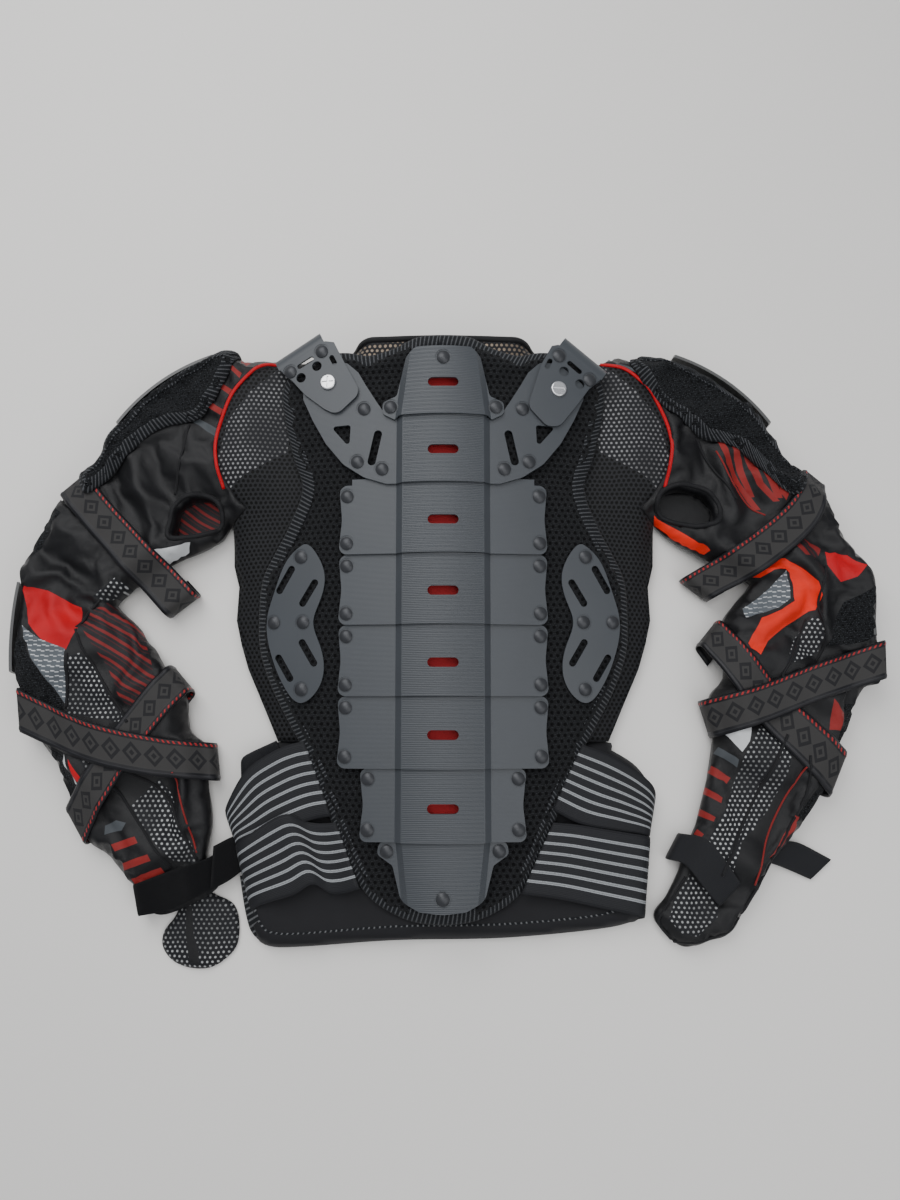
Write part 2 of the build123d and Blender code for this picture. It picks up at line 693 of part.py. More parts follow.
def sleeve(outline, inner, run, run_w, height, name):
    """A closed fabric tube with both ends open along its run."""
    lift = Location((0, 0, SLEEVE_WALL))
    depth = height - 2 * SLEEVE_WALL
    with BuildPart() as tube:
        extrude(outline, amount=height, dir=(0, 0, 1))
        extrude(inner.moved(lift), amount=depth, dir=(0, 0, 1), mode=Mode.SUBTRACT)
        extrude(strip(run, run_w).moved(lift), amount=depth, dir=(0, 0, 1), mode=Mode.SUBTRACT)
    keep(tube.part, name)


def strap_band(points, loose, tight, low, high, name):
    """A webbing strap over a sleeve and down both its sides; low is the sleeve's top."""
    elbow = flip([ELBOW], -1 if points[0][0] < 0 else 1)
    with BuildPart() as band:
        with BuildSketch(Plane.XY.offset(2)):
            with BuildLine():
                Polyline(*points, close=True)
            make_face()
        extrude(amount=high - 2)
        extrude(loose, amount=DEEP, dir=(0, 0, 1), mode=Mode.INTERSECT)
        extrude(tight, amount=low, dir=(0, 0, 1), mode=Mode.SUBTRACT)
        with BuildSketch():
            with Locations(elbow):
                Circle(ELBOW_R + JOINT_GAP)
        extrude(amount=low, mode=Mode.SUBTRACT)
    keep(band.part, name)


def hard_cup(centre, start_deg, sweep_deg, profile, name, side):
    """A doubly curved shell: a bulging strip swung round an upright axis."""
    with BuildPart() as cup:
        with BuildSketch(Plane.XZ):
            with BuildLine():
                outer = ThreePointArc(*profile)
                inner = ThreePointArc(*((x - HARD_T, z) for x, z in profile))
                Line(outer @ 0, inner @ 0)
                Line(outer @ 1, inner @ 1)
            make_face()
        revolve(axis=Axis.Z, revolution_arc=sweep_deg)
    placed = cup.part.moved(Location((*centre, 0), (0, 0, start_deg)))
    if side < 0:
        placed = placed.mirror(Plane.YZ)
    keep(placed, name)


SHOULDER_PAD = [
    (218, 300), (244, 291), (267, 281), (292, 257), (315, 235), (335, 210), (352, 190), (364, 177),
    (346, 160), (328, 183), (313, 203), (298, 215), (278, 223), (256, 230), (241, 243), (225, 271),
    (212, 294),
]
ARM_STRAP = [(376, 186), (402, 158), (280, 34), (248, 62)]
ELBOW_STRAPS = {
    "left": {
        "upper": [(435, -45), (432, -90), (215, -140), (222, -97)],
        "lower": [(250, -10), (375, -165), (346, -205), (240, -55)],
        "wrist": [(312, -226), (296, -262), (205, -244), (212, -208)],
    },
    "right": {
        "upper": [(440, 2), (438, -38), (262, -98), (252, -52)],
        "lower": [(268, 34), (408, -112), (380, -158), (256, 0)],
        "wrist": [(340, -204), (320, -240), (215, -222), (222, -192)],
    },
}
SHOULDER_CUP = [(192, 56), (201, 32), (198, 3)]
ELBOW_CUP = [(367, 42), (373, 20), (371.5, 2)]
ELBOW_CUP_SPAN = {"left": (-7, 14), "right": (-1.4, 8.4)}

for side, name in ((-1, "left"), (1, "right")):
    upper = upper_sleeve_outline(side, 0)
    upper_room = upper_sleeve_outline(side, -SLEEVE_WALL)
    upper_run = flip([(170, 205), (300, 172), (395, 10)], side)
    sleeve(upper, upper_room, upper_run, 78, UPPER_H, f"upper_sleeve_{name}")
    with BuildPart() as shoulder_pad:
        with BuildSketch(Plane.XY.offset(UPPER_H)):
            with BuildLine():
                Polyline(*flip(SHOULDER_PAD, side), close=True)
            make_face()
        extrude(amount=9)
    keep(shoulder_pad.part, f"shoulder_pad_{name}")
    hard_cup((175.3, 117.0), 34, 36, SHOULDER_CUP, f"shoulder_cup_{name}", side)
    loose = upper_sleeve_outline(side, STRAP_T + STRAP_GAP)
    tight = upper_sleeve_outline(side, STRAP_GAP)
    low = UPPER_H + STRAP_GAP
    strap_band(flip(ARM_STRAP, side), loose, tight, low, low + STRAP_T, f"arm_strap_{name}")

    forearm = forearm_outline(name, side, 0)
    room = forearm_outline(name, side, -SLEEVE_WALL)
    sleeve(forearm, room, flip(CUFF_RUN[name], side), 60, FOREARM_H, f"forearm_sleeve_{name}")
    hard_cup((63.8, 15.0), *ELBOW_CUP_SPAN[name], ELBOW_CUP, f"elbow_cup_{name}", side)
    loose = forearm_outline(name, side, STRAP_T + STRAP_GAP)
    tight = forearm_outline(name, side, STRAP_GAP)
    layer = STRAP_T + STRAP_GAP
    for strap, rank in (("lower", 1), ("wrist", 1), ("upper", 2)):
        low = FOREARM_H + (rank - 1) * layer + STRAP_GAP
        kind = "wrist_strap" if strap == "wrist" else f"elbow_strap_{strap}"
        strap_band(flip(ELBOW_STRAPS[name][strap], side), loose, tight, low, low + STRAP_T, f"{kind}_{name}")

with BuildPart() as hand_loop:
    with BuildSketch():
        with Locations((-236, -284)):
            Ellipse(37, 31)
        with Locations((-243, -252)):
            Rectangle(30, 16, rotation=25)
        with Locations((-236, -286)):
            Ellipse(24, 19, mode=Mode.SUBTRACT)
    extrude(amount=7)
    cuff = forearm_outline("left", -1, STRAP_T + 2 * STRAP_GAP)
    extrude(cuff, amount=DEEP, dir=(0, 0, 1), mode=Mode.SUBTRACT)
keep(hand_loop.part, "hand_loop_left")
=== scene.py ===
import bmesh
import bpy
import math
import numpy as np
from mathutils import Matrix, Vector, noise
from mathutils.bvhtree import BVHTree
from mathutils.geometry import delaunay_2d_cdt


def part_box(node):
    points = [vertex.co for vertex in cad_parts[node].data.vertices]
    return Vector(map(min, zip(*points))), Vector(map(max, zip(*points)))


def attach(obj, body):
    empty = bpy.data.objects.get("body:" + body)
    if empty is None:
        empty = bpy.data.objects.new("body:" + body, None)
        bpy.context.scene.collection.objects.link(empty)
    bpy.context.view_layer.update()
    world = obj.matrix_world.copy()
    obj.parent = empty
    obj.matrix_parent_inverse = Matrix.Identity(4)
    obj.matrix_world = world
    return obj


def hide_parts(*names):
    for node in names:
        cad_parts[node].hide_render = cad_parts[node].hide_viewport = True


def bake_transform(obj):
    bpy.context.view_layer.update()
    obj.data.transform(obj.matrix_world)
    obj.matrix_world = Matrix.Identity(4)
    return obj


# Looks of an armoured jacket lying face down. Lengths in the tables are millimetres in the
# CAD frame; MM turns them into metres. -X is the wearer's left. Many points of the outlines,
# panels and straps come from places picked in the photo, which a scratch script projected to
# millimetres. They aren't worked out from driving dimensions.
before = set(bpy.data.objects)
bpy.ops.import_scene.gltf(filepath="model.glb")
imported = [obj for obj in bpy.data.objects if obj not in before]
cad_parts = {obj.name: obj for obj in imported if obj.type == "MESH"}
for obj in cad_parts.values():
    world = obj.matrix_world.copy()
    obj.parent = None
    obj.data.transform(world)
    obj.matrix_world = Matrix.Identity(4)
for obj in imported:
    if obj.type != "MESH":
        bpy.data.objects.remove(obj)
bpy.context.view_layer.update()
MM = 0.001
SIDES = {"left": -1, "right": 1}

# ------------------------------------------------------------------ shape of the fabric
BACK_Z, BACK_TILT = 60.0, math.radians(6.0)
ARCH_R, BODY_R = 700.0, 900.0
ARMHOLE, ARMHOLE_R = (150.0, 205.0), 84.0
ROLL_W = 24.0            # how wide the fabric's rounded edge is
EDGE_Z = 9.0             # middle height of the body's rounded edge
CUP_REACH = 22.0         # how far from a cup the fabric starts to rise
CUP_RISE = 4.0
LEAST_T = 1.4            # thinnest that puffed fabric may become
ROW_STEP = 0.866         # row spacing of a triangular grid, as a share of its step
RIM_CLEAR, PANEL_CLEAR = 0.55, 0.4    # grid points stay this share of a step off an outline
CAST_FROM = 0.3          # metres; higher than anything that a ray is dropped on
STRAP_UNDER_Z = 2.6      # height of a strap's end that is turned under
STRAP_TUCK = 9.0         # length of each of the two steps that it runs back
SEAM_BLEND = 50.0        # from the body's height to the sleeve's own

OUTER = {
    "left": [
        (125, 301), (155, 300), (185, 298), (215, 300), (245, 294), (285, 271), (318, 239), (345, 211),
        (373, 177), (400, 146), (415, 112), (427, 80), (424, 50), (424, 20), (426, -16), (421, -45),
        (417, -80), (402, -97), (384, -118), (366, -152), (350, -190), (325, -210), (300, -238), (286, -259),
        (263, -262),
    ],
    "right": [
        (125, 301), (155, 300), (185, 304), (205, 298), (232, 294), (277, 271), (318, 236), (337, 209),
        (360, 186), (392, 162), (412, 118), (424, 96), (432, 76), (435, 50), (431, 10), (432, -38),
        (418, -46), (405, -78), (392, -103), (374, -146), (344, -188), (322, -213), (306, -240), (290, -264),
        (277, -281), (258, -288), (241, -293), (226, -291),
    ],
}
INNER = {
    "left": [
        (220, -238), (233, -214), (228, -178), (233, -142), (237, -104), (254, -86), (260, -52), (281, -26),
        (292, -7), (301, 2), (312, 18), (335, 40), (318, 57), (285, 80), (238, 104), (223, 124), (220, 110),
    ],
    "right": [
        (211, -277), (205, -263), (218, -246), (231, -222), (238, -201), (249, -179), (262, -135), (270, -92),
        (268, -56), (283, -35), (286, -8), (284, 18), (296, 38), (316, 62), (298, 72), (265, 92), (238, 108),
        (221, 126), (219, 110),
    ],
}
SIDE = [(218, 82), (212, 60), (213, 25), (207, 0), (199, -25), (183, -60), (166, -98), (140, -170)]
CREST = [
    (165, 285, 55), (200, 250, 51), (234, 205, 47), (300, 225, 46), (350, 170, 44), (300, 110, 40),
    (372, 56, 38), (380, 0, 37), (345, -90, 35), (300, -190, 29), (250, -250, 19), (226, 130, 32),
]


def ray_tree(obj):
    """The object's faces, ready for ray casts."""
    corners = [v.co for v in obj.data.vertices]
    return BVHTree.FromPolygons(corners, [tuple(f.vertices) for f in obj.data.polygons])


def closed_line(rim):
    """A rim with its first point repeated at the end."""
    return np.vstack([rim, rim[:1]])


def round_rise(t):
    """0 to 1 along a quarter circle."""
    return np.sqrt(1 - (1 - t) ** 2)


def flip(points, side):
    return [(side * p[0], *p[1:]) for p in points]


def spline(points, step, closed=False):
    """A smooth line through the points, resampled at an even step."""
    p = np.array(points, float)
    n = len(p)
    if closed:
        knots = np.vstack([p[-1], p, p[0], p[1]])
    else:
        knots = np.vstack([2 * p[0] - p[1], p, 2 * p[-1] - p[-2]])
        n -= 1
    t = np.linspace(0, 1, 12, endpoint=False)[:, None]
    runs = []
    for k in range(n):
        a, b, c, d = knots[k : k + 4]
        curve = 2 * b + (c - a) * t + (2 * a - 5 * b + 4 * c - d) * t**2 + (3 * b - a - 3 * c + d) * t**3
        runs.append(curve / 2)
    dense = np.vstack(runs + [p[:1] if closed else p[-1:]])
    length = np.concatenate([[0], np.cumsum(np.linalg.norm(np.diff(dense, axis=0), axis=1))])
    count = max(3, int(round(length[-1] / step)) + 1)
    at = np.linspace(0, length[-1], count)
    out = np.column_stack([np.interp(at, length, dense[:, i]) for i in range(p.shape[1])])
    return out[:-1] if closed else out


def dense(points, step=4.0):
    """A closed outline with its corners kept, in short steps."""
    out = []
    for a, b in zip(points, points[1:] + points[:1]):
        count = max(1, int(math.dist(a, b) / step))
        out += [(a[0] + (b[0] - a[0]) * k / count, a[1] + (b[1] - a[1]) * k / count) for k in range(count)]
    return out


def edge_distance(points, line):
    """Distance from each point to the nearest place on a polyline."""
    a, b = line[:-1], line[1:]
    d = b - a
    t = ((points[:, None] - a) * d).sum(2) / np.maximum((d * d).sum(1), 1e-9)
    near = a + np.clip(t, 0, 1)[..., None] * d
    return np.linalg.norm(points[:, None] - near, axis=2).min(1)


def inside(points, polygon):
    x, y = points[:, :1], points[:, 1:2]
    ax, ay = polygon[:, 0], polygon[:, 1]
    bx, by = np.roll(ax, -1), np.roll(ay, -1)
    gap = np.where(by == ay, 1e-12, by - ay)
    crosses = ((ay > y) != (by > y)) & (x < (bx - ax) * (y - ay) / gap + ax)
    return crosses.sum(1) % 2 == 1


def ease(t):
    t = np.clip(t, 0, 1)
    return t * t * (3 - 2 * t)


collar_gap = [(96, 307), (92, 350)]
right_half = collar_gap[::-1] + OUTER["right"] + INNER["right"] + SIDE
left_half = collar_gap[::-1] + OUTER["left"] + INNER["left"] + SIDE
silhouette = np.array(right_half + flip(left_half[::-1], -1) + right_half[:1], float)
crest = np.array(CREST, float)

# Folds: the two ends, width and height
FOLDS = {
    "left": [
        (258, 228, 262, 120, 12, 5), (300, 208, 268, 118, 10, -4), (318, 196, 290, 90, 11, 5),
        (342, 178, 300, 110, 9, -4), (340, 165, 262, 130, 8, 4), (245, 210, 240, 150, 10, 4),
        (405, 128, 350, 90, 10, 5), (415, 95, 352, 60, 9, -5), (420, 62, 380, 72, 8, 4),
        (400, 55, 372, -4, 8, 4), (388, 40, 360, 14, 7, -5), (352, 40, 330, 56, 7, 4),
        (420, -10, 390, -60, 9, 3), (300, -8, 322, -60, 10, 4), (340, 30, 300, -40, 9, -4),
        (262, -100, 250, -190, 8, 4), (275, -110, 262, -200, 7, -4), (330, -150, 280, -220, 9, 3),
        (375, -110, 340, -150, 9, 3),
    ],
    "right": [
        (232, 235, 246, 165, 11, 4), (262, 222, 290, 130, 11, -4), (282, 210, 300, 120, 9, 4),
        (300, 195, 325, 130, 8, -3), (320, 180, 345, 135, 8, 4), (235, 170, 285, 112, 8, 4),
        (395, 120, 420, 88, 9, 6), (400, 92, 424, 74, 7, -6), (352, 100, 378, 60, 8, 7),
        (378, 70, 384, -6, 7, 6), (372, 50, 350, 10, 7, -6), (345, 70, 300, 66, 7, 6),
        (360, 40, 310, 4, 9, 5), (325, 60, 302, 24, 7, -5), (392, 50, 405, -8, 9, -4),
        (420, 40, 400, -10, 9, 3), (350, -120, 282, -262, 8, -4), (372, -118, 300, -255, 7, 4),
        (385, -110, 335, -190, 7, -3), (262, -120, 240, -200, 9, 3),
    ],
}
fold_lines = [
    (np.array([(s * x0, y0), (s * x1, y1)], float), width, height)
    for n, s in SIDES.items()
    for x0, y0, x1, y1, width, height in FOLDS[n]
]


def body_height(x, y):
    lift = 18 * ease((np.abs(x) - 140) / 80) * ease((y - 110) / 80)
    return BACK_Z + math.sin(BACK_TILT) * y - 22 - x * x / (2 * BODY_R) + lift


def crest_height(x, y):
    gaps = np.hypot(np.abs(x)[:, None] - crest[:, 0], y[:, None] - crest[:, 1]) + 4
    weight = gaps**-3.0
    return (weight * crest[:, 2]).sum(1) / weight.sum(1)


CUP_LINES = [[(232, 300), (290, 268), (342, 216)], [(430, 66), (431, 15), (429, -34)]]


def cup_share(x, y):
    """How near the shoulder and elbow cups are, 0 to 1; the fabric stands up against them."""
    p = np.column_stack([np.abs(x), y])
    off = np.min([edge_distance(p, np.array(line, float)) for line in CUP_LINES], axis=0)
    return np.exp(-((off / CUP_REACH) ** 2))


def fabric_height(p, sleeve=True):
    """Top of the fabric, its middle height at the rounded edge, and how rounded it is there."""
    x, y = p[:, 0], p[:, 1]
    h = body_height(x, y)
    middle = np.full(len(p), EDGE_Z)
    roll = np.full(len(p), ROLL_W)
    if sleeve:
        away = np.hypot(np.abs(x) - ARMHOLE[0], y - ARMHOLE[1]) - ARMHOLE_R
        share = ease(away / SEAM_BLEND)
        h = h * (1 - share) + crest_height(x, y) * share
        near = cup_share(x, y)
        h = h + CUP_RISE * near * share
        middle = EDGE_Z + ((0.45 + 0.50 * near) * h - EDGE_Z) * share
        roll = ROLL_W * (1 - 0.7 * near)
    d = edge_distance(p, silhouette)
    t = np.clip(d / roll, 0, 1)
    q = round_rise(t)
    swell = np.zeros(len(p))
    for line, width, height in fold_lines:
        run = line[1] - line[0]
        along = ((p - line[0]) @ run) / (run @ run)
        off = edge_distance(p, line)
        swell += height * np.exp(-((off / width) ** 2)) * np.clip(1 - (2 * along - 1) ** 4, 0, 1)
    rough = np.array([noise.noise(Vector((a / 34, b / 34, 0.3))) for a, b in p])
    h = h + (swell + 1.6 * rough) * np.clip(t * 1.4, 0, 1) * (1.0 if sleeve else 0.35)
    return middle + (h - middle) * q, middle, q


def back_point(x, y, lift):
    """A point on the tilted back plane, with its cross arch."""
    c, s = math.cos(BACK_TILT), math.sin(BACK_TILT)
    return np.column_stack([x, y * c - lift * s, BACK_Z + y * s + lift * c])


def arch(x, radius=ARCH_R):
    return np.sqrt(radius**2 - np.asarray(x, float) ** 2) - radius


# ------------------------------------------------------------------ mesh builders
def new_object(name, verts, faces, uvs, materials, indices=None, smooth=True):
    """verts in mm; uvs per vertex in metres or shares."""
    mesh = bpy.data.meshes.new(name)
    mesh.from_pydata([tuple(v) for v in np.asarray(verts) * MM], [],
    [tuple(int(i) for i in f) for f in faces])
    layer = mesh.uv_layers.new(name="rest")
    loops = np.zeros(len(mesh.loops), np.int32)
    mesh.loops.foreach_get("vertex_index", loops)
    layer.data.foreach_set("uv", np.asarray(uvs, np.float32)[loops].ravel())
    for m in materials:
        mesh.materials.append(m)
    if indices is not None:
        mesh.polygons.foreach_set("material_index", np.asarray(indices, np.int32))
    mesh.polygons.foreach_set("use_smooth", [smooth] * len(mesh.polygons))
    mesh.update()
    obj = bpy.data.objects.new(name, mesh)
    bpy.context.scene.collection.objects.link(obj)
    return obj


def fabric(name, outline, place, step, materials, panels=(), holes=(), closed_spline=True):
    """A closed sheet with a top and an underside. place(points) gives both as 3-D points.
    panels lists (polygon, material number) of its top."""
    rim = spline(outline, step, closed=True) if closed_spline else np.array(outline, float)
    lines = [rim] + [spline(h, step, closed=True) for h in holes]
    cuts = [np.array(dense(p, step), float) for p, _ in panels]
    low, high = rim.min(0), rim.max(0)
    rows = np.arange(low[1], high[1], step * ROW_STEP)
    grid = [(x, y) for k, y in enumerate(rows) for x in np.arange(low[0] + (k % 2) * step / 2, high[0], step)]
    grid = np.array(grid)
    keep = inside(grid, rim)
    for line in lines:
        keep &= edge_distance(grid, closed_line(line)) > RIM_CLEAR * step
    grid = grid[keep]
    for line in cuts:
        grid = grid[edge_distance(grid, closed_line(line)) > PANEL_CLEAR * step]
    verts, edges = [], []
    for line in lines + cuts:
        start = len(verts)
        verts += [tuple(p) for p in line]
        edges += [(start + k, start + (k + 1) % len(line)) for k in range(len(line))]
    verts += [tuple(p) for p in grid]
    out = delaunay_2d_cdt([Vector(v) for v in verts], edges, [], 0, 1e-3)
    p = np.array([(v.x, v.y) for v in out[0]])
    tri = np.array([f for f in out[2] if len(f) == 3])
    centre = p[tri].mean(1)
    ok = inside(centre, rim)
    for line in lines[1:]:
        ok &= ~inside(centre, line)
    tri, centre = tri[ok], centre[ok]
    used, tri = np.unique(tri, return_inverse=True)
    tri = tri.reshape(-1, 3)
    p = p[used]
    index = np.zeros(len(tri), int)
    for (_, number), line in zip(panels, cuts):
        index[inside(centre, line)] = number
    area = np.cross(p[tri[:, 1]] - p[tri[:, 0]], p[tri[:, 2]] - p[tri[:, 0]])
    tri[area < 0] = tri[area < 0][:, ::-1]
    top, under = place(p)
    n = len(p)
    edge_of = {}
    for k, f in enumerate(tri):
        for a, b in ((f[0], f[1]), (f[1], f[2]), (f[2], f[0])):
            edge_of[(a, b)] = k
    walls = [(a, b, k) for (a, b), k in edge_of.items() if (b, a) not in edge_of]
    faces = [tuple(f) for f in tri] + [(f[2] + n, f[1] + n, f[0] + n) for f in tri]
    faces += [(b, a, a + n, b + n) for a, b, _ in walls]
    numbers = list(index) + [0] * len(tri) + [index[k] for _, _, k in walls]
    uv = np.vstack([p, p]) * MM
    piece = new_object(name, np.vstack([top, under]), faces, uv, materials, numbers)
    held = piece.vertex_groups.new(name="held")
    held.add([*range(n, 2 * n), *{int(k) for a, b, _ in walls for k in (a, b)}], 1.0, "REPLACE")
    return piece


def puff(piece, pressure, spread, cap, frames=20):
    """Cloth simulation of the top of a closed sheet, whose rim and underside are held. The cloth is
    a little larger than its shape, by a share of spread, so it swells and creases. cap is the
    furthest that a point may move, in millimetres. The result is applied to the mesh."""
    count = len(piece.data.vertices)
    before = np.zeros(count * 3)
    piece.data.vertices.foreach_get("co", before)
    before = before.reshape(-1, 3)
    cloth = piece.modifiers.new("puff", "CLOTH")
    soft = cloth.settings
    soft.quality = 4
    soft.mass = 0.15
    soft.tension_stiffness = soft.compression_stiffness = 10
    soft.bending_stiffness = 0.2
    soft.shrink_min = -spread
    soft.use_pressure = True
    soft.uniform_pressure_force = pressure
    soft.vertex_group_mass = "held"
    soft.effector_weights.gravity = 0
    cloth.collision_settings.use_collision = False
    cloth.point_cache.frame_start, cloth.point_cache.frame_end = 1, frames
    for frame_number in range(1, frames + 1):
        bpy.context.scene.frame_set(frame_number)
    done = piece.evaluated_get(bpy.context.evaluated_depsgraph_get())
    after = np.zeros(count * 3)
    done.data.vertices.foreach_get("co", after)
    move = np.nan_to_num(after.reshape(-1, 3) - before)
    far = np.linalg.norm(move, axis=1, keepdims=True)
    move *= np.minimum(1, cap * MM / np.maximum(far, 1e-9))
    moved = before + move
    half = count // 2
    moved[:half, 2] = np.maximum(moved[:half, 2], moved[half:, 2] + LEAST_T * MM)
    piece.modifiers.remove(cloth)
    bpy.context.scene.frame_set(1)
    piece.data.vertices.foreach_set("co", moved.ravel())
    piece.data.update()
    piece.vertex_groups.clear()


def unit(v):
    return v / np.maximum(np.linalg.norm(v, axis=-1, keepdims=True), 1e-9)


def band(name, first, second, thick, material, across=12, bead=0.0, step=3.5, share=None):
    """A closed webbing strap or elastic between two 3-D edge lines of matching points."""
    a, b = np.array(first, float), np.array(second, float)
    middle = (a + b) / 2
    count = max(4, int(np.linalg.norm(np.diff(middle, axis=0), axis=1).sum() / step))
    a, b = (spline_count(line, count) for line in (a, b))
    middle = (a + b) / 2
    s = np.concatenate([[0], np.cumsum(np.linalg.norm(np.diff(middle, axis=0), axis=1))])
    v = np.linspace(0, 1, across + 1) if share is None else np.array(share)
    grid = a[:, None] + (b - a)[:, None] * v[None, :, None]
    tangent = unit(np.gradient(middle, axis=0))
    normal = unit(np.cross(b - a, tangent))
    if normal[len(normal) // 2][2] < 0:
        normal = -normal
    edge = np.minimum(v, 1 - v)
    raised = bead * np.exp(-(((edge - 0.07) / 0.05) ** 2))
    half = thick / 2 * np.where(edge < 0.01, 0.55, 1.0)
    top = grid + normal[:, None] * (half + raised)[None, :, None]
    low = grid - normal[:, None] * half[None, :, None]
    m, w = len(a), len(v)
    idx = np.arange(m * w).reshape(m, w)
    n = m * w
    faces = []
    for i in range(m - 1):
        for j in range(w - 1):
            faces.append((idx[i, j], idx[i + 1, j], idx[i + 1, j + 1], idx[i, j + 1]))
            faces.append((idx[i, j + 1] + n, idx[i + 1, j + 1] + n, idx[i + 1, j] + n, idx[i, j] + n))
        for j in (0, w - 1):
            quad = (idx[i, j], idx[i, j] + n, idx[i + 1, j] + n, idx[i + 1, j])
            faces.append(quad if j == 0 else quad[::-1])
    for j in range(w - 1):
        faces.append((idx[0, j], idx[0, j + 1], idx[0, j + 1] + n, idx[0, j] + n))
        faces.append((idx[-1, j + 1], idx[-1, j], idx[-1, j] + n, idx[-1, j + 1] + n))
    along, aside = np.broadcast_to(s[:, None] * MM, (m, w)), np.broadcast_to(v[None], (m, w))
    uv = np.stack([along, aside], 2).reshape(-1, 2)
    verts = np.vstack([top.reshape(-1, 3), low.reshape(-1, 3)])
    obj = new_object(name, verts, faces, np.vstack([uv, uv]), [material])
    tidy_normals(obj)
    return obj


def spline_count(points, count):
    line = spline(points, 1.0)
    at = np.linspace(0, len(line) - 1, count)
    return np.column_stack([np.interp(at, np.arange(len(line)), line[:, i]) for i in range(3)])


def tidy_normals(obj):
    work = bmesh.new()
    work.from_mesh(obj.data)
    bmesh.ops.recalc_face_normals(work, faces=work.faces)
    work.to_mesh(obj.data)
    work.free()


def tube(name, points, radius, material, closed=False, flat=1.0, around=8, step=3.0):
    """A round cord of fabric or thread along a 3-D line; flat squeezes its height."""
    line = spline(points, step, closed=closed)
    m = len(line)
    tangent = unit(np.roll(line, -1, 0) - np.roll(line, 1, 0)) if closed else unit(np.gradient(line, axis=0))
    side = unit(np.cross(tangent, (0, 0, 1)))
    up = unit(np.cross(side, tangent))
    angle = np.linspace(0, 2 * math.pi, around, endpoint=False)
    ring = side[:, None] * np.cos(angle)[None, :, None] + up[:, None] * flat * np.sin(angle)[None, :, None]
    verts = (line[:, None] + radius * ring).reshape(-1, 3)
    s = np.concatenate([[0], np.cumsum(np.linalg.norm(np.diff(line, axis=0), axis=1))])
    along, turned = np.broadcast_to(s[:, None] * MM, (m, around)), np.broadcast_to(angle / 2 / math.pi,
    (m, around))
    uv = np.stack([along, turned], 2)
    last = m if closed else m - 1
    faces = []
    for i in range(last):
        k = (i + 1) % m
        for j in range(around):
            l = (j + 1) % around
            faces.append((i * around + j, i * around + l, k * around + l, k * around + j))
    if not closed:
        faces.append(tuple(range(around)))
        faces.append(tuple((m - 1) * around + j for j in reversed(range(around))))
    obj = new_object(name, verts, faces, uv.reshape(-1, 2), [material])
    tidy_normals(obj)
    return obj


